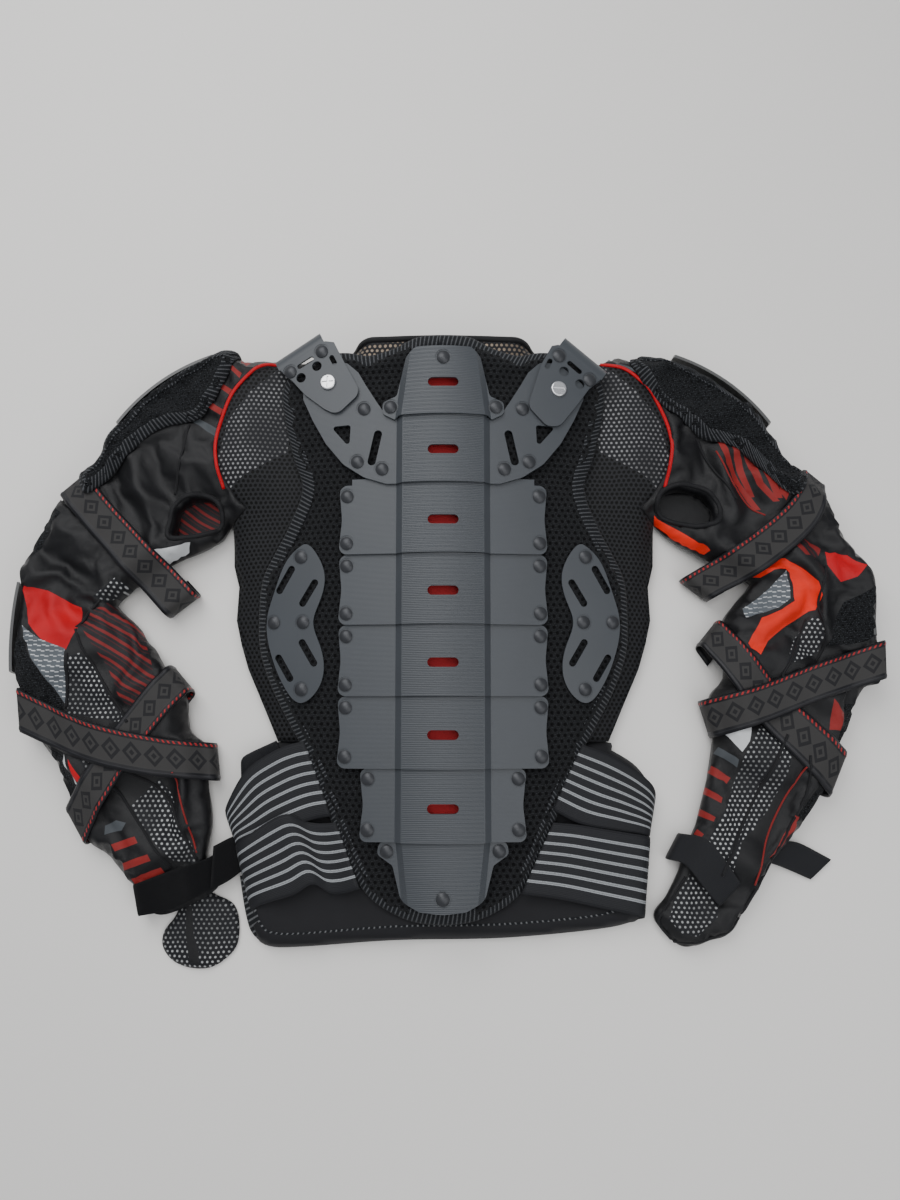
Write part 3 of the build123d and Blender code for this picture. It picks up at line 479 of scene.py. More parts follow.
# ------------------------------------------------------------------ materials
class Look:
    """A node material. Vectors are in millimetres."""

    def __init__(self, name, color, rough=0.5, space="uv", **more):
        self.mat = bpy.data.materials.new(name)
        self.mat.use_nodes = True
        self.nodes, self.links = self.mat.node_tree.nodes, self.mat.node_tree.links
        self.bsdf = next(n for n in self.nodes if n.type == "BSDF_PRINCIPLED")
        self.bsdf.inputs["Base Color"].default_value = (*color, 1)
        self.bsdf.inputs["Roughness"].default_value = rough
        for key, value in more.items():
            self.bsdf.inputs[key.replace("_", " ")].default_value = value
        if space == "uv":
            where = self.nodes.new("ShaderNodeUVMap")
            where.uv_map = "rest"
            source = where.outputs[0]
        else:
            source = self.nodes.new("ShaderNodeTexCoord").outputs["Object"]
        self.mm = self.vec("SCALE", source, scale=1000)
        self.raw = source
        self.heights = []

    def put(self, socket, value):
        if isinstance(value, bpy.types.NodeSocket):
            self.links.new(value, socket)
        else:
            socket.default_value = value

    def vec(self, op, a, b=None, scale=None):
        node = self.nodes.new("ShaderNodeVectorMath")
        node.operation = op
        self.put(node.inputs[0], a)
        if b is not None:
            self.put(node.inputs[1], b)
        if scale is not None:
            node.inputs["Scale"].default_value = scale
        return node.outputs["Value" if op in ("LENGTH", "DISTANCE", "DOT_PRODUCT") else "Vector"]

    def math(self, op, a, b=0.0, c=0.0, clamp=False):
        node = self.nodes.new("ShaderNodeMath")
        node.operation = op
        node.use_clamp = clamp
        for socket, value in zip(node.inputs, (a, b, c)):
            self.put(socket, value)
        return node.outputs[0]

    def xyz(self, vector):
        node = self.nodes.new("ShaderNodeSeparateXYZ")
        self.put(node.inputs[0], vector)
        return node.outputs[0], node.outputs[1], node.outputs[2]

    def noise(self, size, detail=2.0, rough=0.5, vector=None, stretch=None):
        """Noise whose grains are about size mm across."""
        node = self.nodes.new("ShaderNodeTexNoise")
        vector = self.mm if vector is None else vector
        if stretch:
            vector = self.vec("MULTIPLY", vector, stretch)
        self.put(node.inputs["Vector"], vector)
        node.inputs["Scale"].default_value = 1.0 / size
        node.inputs["Detail"].default_value = detail
        node.inputs["Roughness"].default_value = rough
        return node.outputs[0]

    def step(self, value, low, high):
        """0 below low, 1 above high."""
        node = self.nodes.new("ShaderNodeMapRange")
        node.interpolation_type = "SMOOTHSTEP"
        self.put(node.inputs[0], value)
        node.inputs[1].default_value, node.inputs[2].default_value = low, high
        return node.outputs[0]

    def wave(self, value, period, duty, soft=0.08):
        """1 over the first part of each period."""
        turn = self.math("FRACT", self.math("DIVIDE", value, period))
        off = self.math("ABSOLUTE", self.math("SUBTRACT", turn, 0.5))
        return self.step(off, 0.5 - duty / 2 - soft, 0.5 - duty / 2 + soft)

    def holes(self, pitch, radius, soft=0.25, vector=None):
        """1 inside the holes of a hexagonal mesh."""
        vector = self.mm if vector is None else vector
        cell = (pitch, pitch * math.sqrt(3), 1)
        near = []
        for shift in (0.0, 0.5):
            grid = self.vec("ADD", self.vec("DIVIDE", vector, cell), (shift, shift, 0))
            part = self.vec("SUBTRACT", self.vec("FRACTION", grid), (0.5, 0.5, 0))
            part = self.vec("MULTIPLY", part, (pitch, pitch * math.sqrt(3), 0))
            near.append(self.vec("LENGTH", part))
        d = self.math("MINIMUM", *near)
        return self.step(d, radius + soft, radius - soft)

    def mix(self, share, a, b):
        node = self.nodes.new("ShaderNodeMix")
        node.data_type = "RGBA"
        self.put(node.inputs["Factor"], share)
        for key, value in ((6, a), (7, b)):
            self.put(node.inputs[key], (*value, 1) if isinstance(value, tuple) else value)
        return node.outputs[2]

    def color(self, socket):
        self.links.new(socket, self.bsdf.inputs["Base Color"])
        return self

    def rough(self, share, a, b):
        node = self.nodes.new("ShaderNodeMapRange")
        self.put(node.inputs[0], share)
        node.inputs[3].default_value, node.inputs[4].default_value = a, b
        self.links.new(node.outputs[0], self.bsdf.inputs["Roughness"])

    def bump(self, height, mm, strength=1.0):
        """Adds relief of a depth in millimetres."""
        node = self.nodes.new("ShaderNodeBump")
        node.inputs["Strength"].default_value = strength
        node.inputs["Distance"].default_value = mm * MM
        self.put(node.inputs["Height"], height)
        if self.bsdf.inputs["Normal"].links:
            self.links.new(self.bsdf.inputs["Normal"].links[0].from_socket, node.inputs["Normal"])
        self.links.new(node.outputs[0], self.bsdf.inputs["Normal"])


BLACK, SLATE, RED = (0.0045, 0.0045, 0.0055), (0.047, 0.053, 0.061), (0.52, 0.0, 0.006)
DARK_RED, WHITE = (0.19, 0.012, 0.012), (0.62, 0.63, 0.64)


def plastic(name, color, ribs=False):
    look = Look(name, color, 0.42, space="object")
    cloud = look.noise(60, 3)
    grain = look.noise(0.9, 2)
    look.color(look.mix(cloud, tuple(0.88 * c for c in color), tuple(1.12 * c for c in color)))
    look.rough(cloud, 0.36, 0.50)
    look.bump(grain, 0.05, 0.6)
    if ribs:
        x, y, _ = look.xyz(look.mm)
        centre = look.step(look.math("ABSOLUTE", x), 39.5, 38.5)
        rib = look.math("MULTIPLY", look.math("SINE", look.math("MULTIPLY", y, 2 * math.pi / 1.7)), centre)
        side = look.math("MULTIPLY", look.math("SINE", look.math("MULTIPLY", y, 2 * math.pi / 1.2)), 0.35)
        look.bump(look.math("ADD", rib, side), 0.10, 0.8)
    return look.mat


def cloth_weave(look, size=0.8, depth=0.12):
    x, y, _ = look.xyz(look.mm)
    warp = look.math("SINE", look.math("MULTIPLY", look.math("ADD", x, y), 2 * math.pi / size))
    weft = look.math("SINE", look.math("MULTIPLY", look.math("SUBTRACT", x, y), 2 * math.pi / size))
    look.bump(look.math("MULTIPLY", warp, weft), depth, 0.7)


def lycra(name, color=BLACK, rough=0.40):
    look = Look(name, color, rough, Sheen_Weight=0.04, Sheen_Roughness=0.4, Specular_IOR_Level=0.35)
    cloud = look.noise(45, 3)
    look.color(look.mix(cloud, tuple(0.75 * c for c in color), tuple(1.35 * c for c in color)))
    look.rough(cloud, rough - 0.06, rough + 0.10)
    cloth_weave(look, 0.7, 0.05)
    look.bump(look.noise(7, 4, 0.6, stretch=(1.0, 0.35, 1)), 0.5, 0.5)
    return look.mat


def mesh_cloth(name, pitch, radius, behind, light=(0.022, 0.023, 0.027)):
    look = Look(name, BLACK, 0.62, Sheen_Weight=0.03, Specular_IOR_Level=0.2)
    drift = look.vec("SUBTRACT", blur(look, 26), (0.5, 0.5, 0.5))
    wobble = look.vec("ADD", look.mm, look.vec("SCALE", drift, scale=3.0))
    hole = look.holes(pitch, radius, 0.3, wobble)
    shade = look.noise(50, 2)
    thread = look.mix(look.noise(1.2, 2), BLACK, light)
    inner = look.mix(look.step(shade, 0.35, 0.65), tuple(0.35 * c for c in behind), behind)
    look.color(look.mix(hole, thread, inner))
    look.bump(look.math("SUBTRACT", 1.0, hole), 0.7, 0.9)
    return look.mat


def blur(look, size):
    node = look.nodes.new("ShaderNodeTexNoise")
    look.put(node.inputs["Vector"], look.mm)
    node.inputs["Scale"].default_value = 1.0 / size
    return node.outputs[1]


def striped(name, base, stripe, period, duty, angle, second=None):
    """Printed stripes across the fabric at an angle in degrees."""
    look = Look(name, base, 0.5, Sheen_Weight=0.03, Specular_IOR_Level=0.3)
    a = math.radians(angle)
    across = look.vec("DOT_PRODUCT", look.mm, (math.cos(a), math.sin(a), 0))
    across = look.math("ADD", across, look.math("MULTIPLY", look.noise(60, 1), 9.0))
    mask = look.wave(across, period, duty, 0.04)
    color = look.mix(mask, base, stripe)
    if second:
        other = look.wave(look.math("ADD", across, period * 0.42), period, 0.12, 0.03)
        color = look.mix(other, color, second)
    look.color(color)
    cloth_weave(look, 0.8, 0.06)
    look.bump(look.noise(9, 4, 0.6), 0.6, 0.5)
    return look.mat


def textile(name, flecks=((0.0055, 0.0060, 0.0068), (0.060, 0.064, 0.072)), hole=0.9, space="uv"):
    """Heathered black padding fabric, dark and light, with dimples of a radius in millimetres. The dimples
    are painted near-black, as painted shade in them.
    """
    look = Look(name, BLACK, 0.85, space=space, Sheen_Weight=0.04, Specular_IOR_Level=0.15)
    x, y, _ = look.xyz(look.mm)
    right = look.math("ADD", x, look.math("MULTIPLY", y, 0.8))
    left = look.math("SUBTRACT", x, look.math("MULTIPLY", y, 0.6))
    diagonal = look.math("SINE", look.math("MULTIPLY", right, 2 * math.pi / 2.1))
    counter = look.math("SINE", look.math("MULTIPLY", left, 2 * math.pi / 2.6))
    weave = look.math("MULTIPLY", diagonal, counter)
    grain = look.noise(1.1, 3, 0.7)
    fleck = look.step(look.math("ADD", grain, look.math("MULTIPLY", weave, 0.10)), 0.52, 0.72)
    color = look.mix(fleck, *flecks)
    dimple = look.holes(6.4, hole, 0.45)
    # the dimples' near-black colour is painted shade in the small recesses
    look.color(look.mix(dimple, color, (0.0015, 0.0015, 0.002)))
    look.bump(weave, 0.25, 0.8)
    look.bump(look.math("SUBTRACT", 1.0, dimple), 0.6, 0.9)
    return look.mat


def zigzag_edge(name, period=4.2, thread=(0.105, 0.110, 0.118)):
    """Overlocked edge: dense slanted stitches across a narrow band."""
    look = Look(name, BLACK, 0.8, Sheen_Weight=0.04, Specular_IOR_Level=0.2)
    u, v, _ = look.xyz(look.raw)
    u = look.math("MULTIPLY", u, 1000)
    slant = look.math("ADD", u, look.math("MULTIPLY", v, 2.2))
    slant = look.math("ADD", slant, look.math("MULTIPLY", look.noise(6, 2), 1.6))
    stitch = look.wave(slant, period, 0.30, 0.08)
    fade = look.step(look.noise(9, 2), 0.32, 0.55)
    look.color(look.mix(look.math("MULTIPLY", stitch, fade), (0.008, 0.009, 0.011), thread))
    look.bump(stitch, 0.5, 0.9)
    return look.mat


def webbing(name):
    """Elastic strap: grey centre, rubber edges, slanted red stitches on one edge and a plain
    pattern of lozenges."""
    look = Look(name, (0.05, 0.048, 0.048), 0.6, Sheen_Weight=0.03, Specular_IOR_Level=0.3)
    u, v, _ = look.xyz(look.raw)
    u = look.math("MULTIPLY", u, 1000)
    off = look.math("ABSOLUTE", look.math("SUBTRACT", v, 0.5))
    edge = look.step(off, 0.33, 0.345)
    groove = look.math("MULTIPLY", look.step(off, 0.39, 0.40), look.step(off, 0.425, 0.415))
    slant = look.math("ADD", u, look.math("MULTIPLY", v, -22))
    dash = look.wave(slant, 5.2, 0.42, 0.06)
    row = look.math("MULTIPLY", look.step(v, 0.045, 0.055), look.step(v, 0.125, 0.115))
    cell = look.math("SUBTRACT", look.math("FRACT", look.math("DIVIDE", u, 21)), 0.5)
    sideways = look.math("MULTIPLY", look.math("ABSOLUTE", cell), 0.9)
    reach = look.math("ADD", sideways, look.math("MULTIPLY", off, 1.5))
    ring = look.math("MULTIPLY", look.step(reach, 0.42, 0.41), look.step(reach, 0.24, 0.25))
    mark = look.math("MAXIMUM", ring, look.step(reach, 0.12, 0.11))
    fine = look.math("SINE", look.math("MULTIPLY", u, 2 * math.pi / 0.9))
    base = look.mix(look.noise(3, 3), (0.026, 0.025, 0.025), (0.042, 0.040, 0.039))
    color = look.mix(look.math("MULTIPLY", mark, 0.9), base, (0.007, 0.007, 0.009))
    color = look.mix(edge, color, (0.006, 0.006, 0.008))
    color = look.mix(look.math("MULTIPLY", groove, 0.7), color, (0.022, 0.022, 0.026))
    color = look.mix(look.math("MULTIPLY", row, dash), color, (0.36, 0.016, 0.018))
    look.color(color)
    look.rough(edge, 0.68, 0.36)
    look.bump(fine, 0.06, 0.6)
    look.bump(mark, 0.15, 0.7)
    look.bump(look.math("MULTIPLY", row, dash), 0.35, 0.9)
    return look.mat


def elastic(name, stripes):
    """Ribbed black elastic, with or without six silver stripes along it."""
    look = Look(name, (0.010, 0.010, 0.012), 0.6, Sheen_Weight=0.03, Specular_IOR_Level=0.3)
    u, v, _ = look.xyz(look.raw)
    u = look.math("MULTIPLY", u, 1000)
    rib = look.math("SINE", look.math("MULTIPLY", v, 2 * math.pi * 46))
    base = look.mix(look.noise(2.5, 3), (0.006, 0.006, 0.008), (0.015, 0.016, 0.019))
    look.color(base)
    if stripes:
        turn = look.math("FRACT", look.math("DIVIDE", look.math("SUBTRACT", v, 0.085), 0.132))
        off = look.math("ABSOLUTE", look.math("SUBTRACT", turn, 0.5))
        line = look.step(off, 0.17, 0.12)
        core = look.step(off, 0.02, 0.05)
        reach = look.math("MULTIPLY", look.step(v, 0.10, 0.11), look.step(v, 0.89, 0.88))
        spark = look.step(look.noise(1.6, 3, 0.7), 0.33, 0.62)
        glint = look.math("ADD", look.math("MULTIPLY", spark, 0.65), 0.25)
        shine = look.math("MULTIPLY", look.math("MULTIPLY", line, reach), glint)
        shine = look.math("MULTIPLY", shine, look.math("ADD", look.math("MULTIPLY", core, 0.5), 0.5))
        look.color(look.mix(shine, base, (0.46, 0.48, 0.50)))
        look.bump(look.math("MULTIPLY", line, reach), 0.5, 0.8)
    look.bump(rib, 0.12, 0.7)
    look.bump(look.math("SINE", look.math("MULTIPLY", u, 2 * math.pi / 1.3)), 0.06, 0.6)
    return look.mat


def lozenges(name):
    look = Look(name, (0.11, 0.125, 0.14), 0.5)
    x, y, _ = look.xyz(look.mm)
    row = look.math("FLOOR", look.math("DIVIDE", y, 5.0))
    shift = look.math("MULTIPLY", row, 3.7)
    dash = look.wave(look.math("ADD", x, shift), 8.5, 0.42, 0.05)
    line = look.wave(y, 5.0, 0.40, 0.08)
    light = look.noise(55, 1)
    mark = look.math("MULTIPLY", look.math("MULTIPLY", dash, line), look.step(light, 0.25, 0.6))
    look.color(look.mix(mark, (0.10, 0.115, 0.13), (0.68, 0.70, 0.72)))
    cloth_weave(look)
    return look.mat


def flat_cloth(name, color, rough=0.55, crease=0.7):
    look = Look(name, color, rough, Sheen_Weight=0.04, Specular_IOR_Level=0.3)
    cloud = look.noise(30, 3)
    look.color(look.mix(cloud, tuple(0.72 * c for c in color), tuple(min(1, 1.2 * c) for c in color)))
    cloth_weave(look, 0.8, 0.06)
    look.bump(look.noise(8, 4, 0.6), crease, 0.5)
    return look.mat


def metal(name, color, rough):
    look = Look(name, color, rough, space="object", Metallic=1.0)
    look.rough(look.noise(2.0, 3, stretch=(1, 6, 1)), rough - 0.08, rough + 0.12)
    look.bump(look.noise(0.6, 2, stretch=(1, 8, 1)), 0.03, 0.6)
    return look.mat


def rivet_look(name):
    look = Look(name, (0.035, 0.037, 0.042), 0.36, space="object", Metallic=0.35)
    look.rough(look.noise(3.0, 3), 0.30, 0.46)
    look.color(look.mix(look.noise(5, 2), (0.028, 0.030, 0.034), (0.048, 0.050, 0.056)))
    look.bump(look.noise(0.8, 2), 0.04, 0.6)
    return look.mat


plate_mat = plastic("plate_plastic", SLATE, ribs=True)
smooth_plate_mat = plastic("smooth_plate_plastic", (0.050, 0.056, 0.064))
cup_mat = plastic("cup_plastic", (0.085, 0.086, 0.086))
chest_mat = plastic("chest_plastic", (0.045, 0.050, 0.056))
rivet_mat = rivet_look("rivet_graphite")
screw_mat = metal("screw_steel", (0.72, 0.72, 0.73), 0.28)
zip_mat = metal("zip_metal", (0.10, 0.10, 0.11), 0.4)
lycra_mat = lycra("sleeve_lycra")
red_mat = flat_cloth("red_lycra", RED, 0.45)
orange_mat = flat_cloth("orange_lining", (0.80, 0.022, 0.004), 0.5)
grey_mat = flat_cloth("grey_bar", (0.062, 0.070, 0.078), 0.5)
bar_mat = flat_cloth("red_bar", (0.26, 0.016, 0.014), 0.5)
white_mat = flat_cloth("white_lining", WHITE, 0.6)
STRIPE_BASE, STRIPE_DIM = (0.010, 0.009, 0.011), (0.05, 0.008, 0.010)
stripe_mat = striped("red_striped_lycra", STRIPE_BASE, DARK_RED, 10.0, 0.28, 58, STRIPE_DIM)
stripe_right_mat = striped("right_striped_lycra", STRIPE_BASE, DARK_RED, 14.0, 0.40, 30, STRIPE_DIM)
lozenge_mat = lozenges("grey_lozenge_print")
body_mesh_mat = mesh_cloth("body_mesh", 5.0, 1.55, (0.0012, 0.0012, 0.0012), (0.030, 0.031, 0.034))
open_mesh_mat = mesh_cloth("open_mesh", 5.0, 1.25, (0.24, 0.24, 0.245))
collar_mesh_mat = mesh_cloth("collar_mesh", 5.2, 1.55, (0.42, 0.33, 0.25))
arm_mesh_mat = mesh_cloth("arm_mesh", 5.0, 1.15, (0.46, 0.47, 0.47))
pad_mat = textile("pad_textile", ((0.010, 0.0105, 0.0115), (0.040, 0.042, 0.047)), 1.7)
shoulder_mat = textile("shoulder_textile")
border_mat = zigzag_edge("pad_edge_stitching")
hem_mat = zigzag_edge("hem_stitching", 5.4, (0.17, 0.175, 0.18))
webbing_mat = webbing("strap_webbing")
band_mat = elastic("striped_elastic", True)
plain_elastic_mat = elastic("plain_elastic", False)
belt_mat = flat_cloth("belt_neoprene", (0.008, 0.008, 0.010), 0.7, 0.2)
hook_mat = textile("hook_and_loop", ((0.004, 0.004, 0.005), (0.018, 0.018, 0.021)), 0.0)
binding_mat = flat_cloth("black_binding", (0.0065, 0.0065, 0.008), 0.6, 0.3)
piping_mat = flat_cloth("red_piping", RED, 0.4, 0.3)
liner_look = Look("liner_red", (0.55, 0.006, 0.012), 0.7, space="object", Sheen_Weight=0.2)
liner_look.color(liner_look.mix(liner_look.noise(1.0, 2), (0.42, 0.004, 0.010), (0.62, 0.010, 0.016)))
liner_look.bump(liner_look.noise(0.8, 2), 0.2, 0.6)
liner_mat = liner_look.mat

# ------------------------------------------------------------------ CAD parts that stay
for name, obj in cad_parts.items():
    if name.startswith(("spine_rivets", "shoulder_strap_rivets", "side_plate_rivets")):
        finish = rivet_mat
    elif name.startswith("spine_plate"):
        finish = plate_mat
    elif name.startswith(("shoulder_strap", "side_plate")):
        finish = smooth_plate_mat
    elif name.startswith("shoulder_screw"):
        finish = screw_mat
    elif name.startswith(("shoulder_cup", "elbow_cup")):
        finish = cup_mat
    elif name.startswith("chest_plate"):
        finish = chest_mat
    elif name == "zip_slider":
        finish = zip_mat
    elif name == "red_liner":
        finish = liner_mat
    else:
        finish = binding_mat
    obj.data.materials.clear()
    obj.data.materials.append(finish)
    if name.startswith(("spine_plate", "shoulder_strap", "side_plate", "shoulder_cup", "elbow_cup", "chest")):
        if "rivets" not in name:
            soft = obj.modifiers.new("soft_edges", "BEVEL")
            soft.width = 0.7 * MM
            soft.segments = 2
            soft.limit_method = "ANGLE"
            soft.angle_limit = math.radians(40)
            soft.harden_normals = True


# ------------------------------------------------------------------ jacket body
def torso_place(p):
    top, middle, _ = fabric_height(p, sleeve=False)
    under = np.maximum(top - 3.0, middle - 1.2)
    under = np.minimum(under, top - 1.6)
    return np.column_stack([p, top]), np.column_stack([p, under])


def arc(side, start, end, radius=ARMHOLE_R, count=24):
    turn = np.radians(np.linspace(start, end, count))
    return [(side * (ARMHOLE[0] + radius * math.cos(a)), ARMHOLE[1] + radius * math.sin(a)) for a in turn]


def half_torso(side):
    top = [(0, 309), (50, 308.5), (96, 307), (125, 301), (155, 300)]
    flank = [(220, 124), (219, 104)] + SIDE[:-1] + [(100, -101), (0, -101)]
    return flip(top, side) + arc(side, 82, -52) + flip(flank, side)


right_rim = half_torso(1)
left_rim = half_torso(-1)
torso_rim = dense(right_rim + left_rim[::-1][1:-1])
shoulder_mesh = [(150, 285), (166, 285), (200, 255), (222, 225), (231, 190), (231, 148), (205, 170),
(161, 194), (150, 240)]
torso_panels = [(flip(shoulder_mesh, s), 1) for s in (-1, 1)]
torso_panels.append(([(-97, 304), (-97, 278), (0, 278), (97, 278), (97, 304), (0, 306)], 2))
torso = fabric(
    "torso_back", torso_rim, torso_place, 5.0, [body_mesh_mat, open_mesh_mat, collar_mesh_mat], torso_panels,
    closed_spline=False,
)
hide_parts("back_mesh")
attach(torso, "torso")

front_rim = dense(right_rim[2:-1] + [(11, -100), (11, 240), (60, 258), (86, 286)], 5.0)


def front_place(p):
    d = edge_distance(p, silhouette)
    lift = 4 * (1 - np.clip(d / 10, 0, 1))
    return np.column_stack([p, 7.6 + lift]), np.column_stack([p, 5.3 + lift * 0.6])


for name, side in SIDES.items():
    front = fabric(f"torso_front_{name}", flip(front_rim, side), front_place, 8.0,
    [body_mesh_mat], closed_spline=False)
    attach(front, "torso")
    if side > 0:
        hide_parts("front_mesh")

collar_edge = spline([(-97, 304), (-84, 308), (-50, 308.5), (0, 309), (50, 308.5), (84, 308), (97, 304)], 6.0)
collar = np.column_stack([collar_edge, fabric_height(collar_edge, sleeve=False)[0] - 1.2])
binding = tube("collar_binding_tube", collar, 3.4, binding_mat, around=10)
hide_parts("collar_binding")
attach(binding, "torso")

# ------------------------------------------------------------------ back pad
PAD_HALF = [
    (0, 302), (25, 300), (48, 289), (75, 282), (100, 286), (128, 283), (160, 256), (150, 193), (138, 152),
    (152, 112), (167, 84), (179, 58), (182, 22), (180, -12), (168, -46), (150, -80), (136, -104), (122, -135),
    (110, -164), (78, -234), (42, -262), (0, -270),
]
pad_outline = PAD_HALF + [(-x, y) for x, y in reversed(PAD_HALF) if x]
pad_rim = spline(pad_outline, 4.0, closed=True)
pad_line = closed_line(pad_rim)


def pad_place(p):
    d = edge_distance(p, pad_line)
    t = np.clip(d / 13, 0, 1)
    swell = np.array([noise.noise(Vector((a / 22, b / 22, 4.1))) for a, b in p])
    top = arch(p[:, 0]) - 3.3 - 6.5 * (1 - round_rise(t)) + 0.5 * swell * t
    top -= 3.2 * ease((34 - np.abs(p[:, 0])) / 8)    # the channel that the red liner lies in
    low = arch(p[:, 0], BODY_R) - 21.5 + 4 * (1 - t)
    top3, low3 = back_point(p[:, 0], p[:, 1], top), back_point(p[:, 0], p[:, 1], np.minimum(low, top - 3))
    low3[:, 2] = np.maximum(low3[:, 2], 19.6)
    return top3, low3


pad = fabric("quilted_back_pad", [tuple(q) for q in pad_rim], pad_place, 4.5, [pad_mat], closed_spline=False)
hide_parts("back_pad")
puff(pad, 2.0, 0.03, 1.4)
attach(pad, "torso")


def ring_band(name, rim, inner, outer, heights, material, place, thick):
    """A flat band that follows a closed outline, from inner to outer offset."""
    line = np.vstack([rim[-1:], rim, rim[:1]])
    tangent = unit(line[2:] - line[:-2])
    out = np.column_stack([tangent[:, 1], -tangent[:, 0]])
    edge_a = place(rim + out * inner, heights[0])
    edge_b = place(rim + out * outer, heights[1])
    edge_a, edge_b = (closed_line(e) for e in (edge_a, edge_b))
    return band(name, edge_a, edge_b, thick, material, across=5, step=3.0)


def on_back(points, height):
    return back_point(points[:, 0], points[:, 1], arch(points[:, 0]) + height)


area = 0.5 * np.sum(pad_rim[:, 0] * np.roll(pad_rim[:, 1], -1) - np.roll(pad_rim[:, 0], -1) * pad_rim[:, 1])
border_rim = pad_rim if area > 0 else pad_rim[::-1]
border = ring_band("pad_edge_band", border_rim, -8.5, 4.5, (-3.9, -11.0), border_mat, on_back, 2.6)
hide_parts("back_pad_border")
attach(border, "torso")

# ------------------------------------------------------------------ kidney belt
BELT = [
    (-141, -97), (-170, -106), (-195, -124), (-211, -155), (-204, -195), (-190, -258), (-183, -282),
    (-170, -293), (-138, -294), (-47, -288), (55, -286), (140, -279), (180, -272), (192, -262), (199, -195),
    (206, -150), (196, -125), (170, -107), (141, -97),
]
belt_rim = spline(BELT, 5.0, closed=True)
belt_line = closed_line(belt_rim)


def belt_place(p):
    d = edge_distance(p, belt_line)
    t = np.clip(d / 9, 0, 1)
    dip = 3.5 * ease((d - 14) / 20)
    top = 8 + 9.5 * round_rise(t) - dip
    low = 7 - 5.8 * round_rise(t)
    return np.column_stack([p, top]), np.column_stack([p, low])


belt = fabric("kidney_belt_body", [tuple(q) for q in belt_rim], belt_place, 6.0,
[belt_mat], closed_spline=False)
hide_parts("kidney_belt")
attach(belt, "torso")

hem_line = [(-199, -228), (-192, -262), (-184, -282), (-168, -290), (-130, -290), (-47, -284), (55, -282),
(140, -275), (181, -267)]
hem_in = [(-188, -226), (-181, -256), (-174, -272), (-162, -279), (-130, -279), (-47, -273), (55, -271),
(140, -264), (172, -257)]
hem = band(
    "belt_hem", [(*p, 8.5) for p in hem_line], [(*p, 17.6) for p in hem_in], 2.4, hem_mat, across=6,
)
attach(hem, "torso")

BANDS = {
    "upper_left": (
        [(-137, -98, 29), (-151, -101, 27), (-170, -109, 25), (-195, -127, 23), (-212, -158, 20),
            (-214, -170, 12), (-209, -172, 5)],
        [(-109, -170, 27), (-126, -173, 25), (-151, -182, 23), (-175, -192, 21), (-196, -198, 19),
            (-201, -204, 12), (-197, -206, 5)],
    ),
    "lower_left": (
        [(-104, -176, 27), (-120, -177, 24), (-134, -175, 24), (-151, -168, 29), (-168, -174, 28),
            (-196, -193, 24), (-203, -200, 14), (-199, -206, 5)],
        [(-80, -238, 25), (-96, -243, 21), (-109, -243, 20), (-125, -234, 25), (-144, -244, 24),
            (-176, -254, 21), (-186, -262, 12), (-183, -266, 5)],
    ),
    "upper_right": (
        [(137, -101, 29), (164, -111, 27), (187, -124, 24), (202, -136, 22), (208, -144, 20), (210, -152, 12),
            (206, -156, 5)],
        [(106, -164, 28), (135, -178, 25), (168, -184, 23), (190, -187, 21), (199, -189, 19), (202, -192, 12),
            (198, -195, 5)],
    ),
    "lower_right": (
        [(107, -176, 27), (130, -178, 26), (155, -182, 25), (180, -186, 24), (198, -189, 22), (203, -192, 13),
            (199, -196, 5)],
        [(75, -243, 25), (112, -248, 23), (150, -256, 22), (178, -262, 21), (190, -265, 19), (195, -267, 12),
            (191, -269, 5)],
    ),
}
for name, (upper, lower) in BANDS.items():
    piece = band(f"belt_elastic_{name}", upper, lower, 2.2, band_mat, across=18)
    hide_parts(f"belt_band_{name}")
    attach(piece, "torso")
spare = band(
    "belt_spare_end", [(-167, -97, 15), (-198, -112, 15), (-201, -120, 12)], [(-160, -112, 15),
        (-196, -132, 15), (-200, -136, 12)],
    3.0, plain_elastic_mat, across=8,
)
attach(spare, "torso")

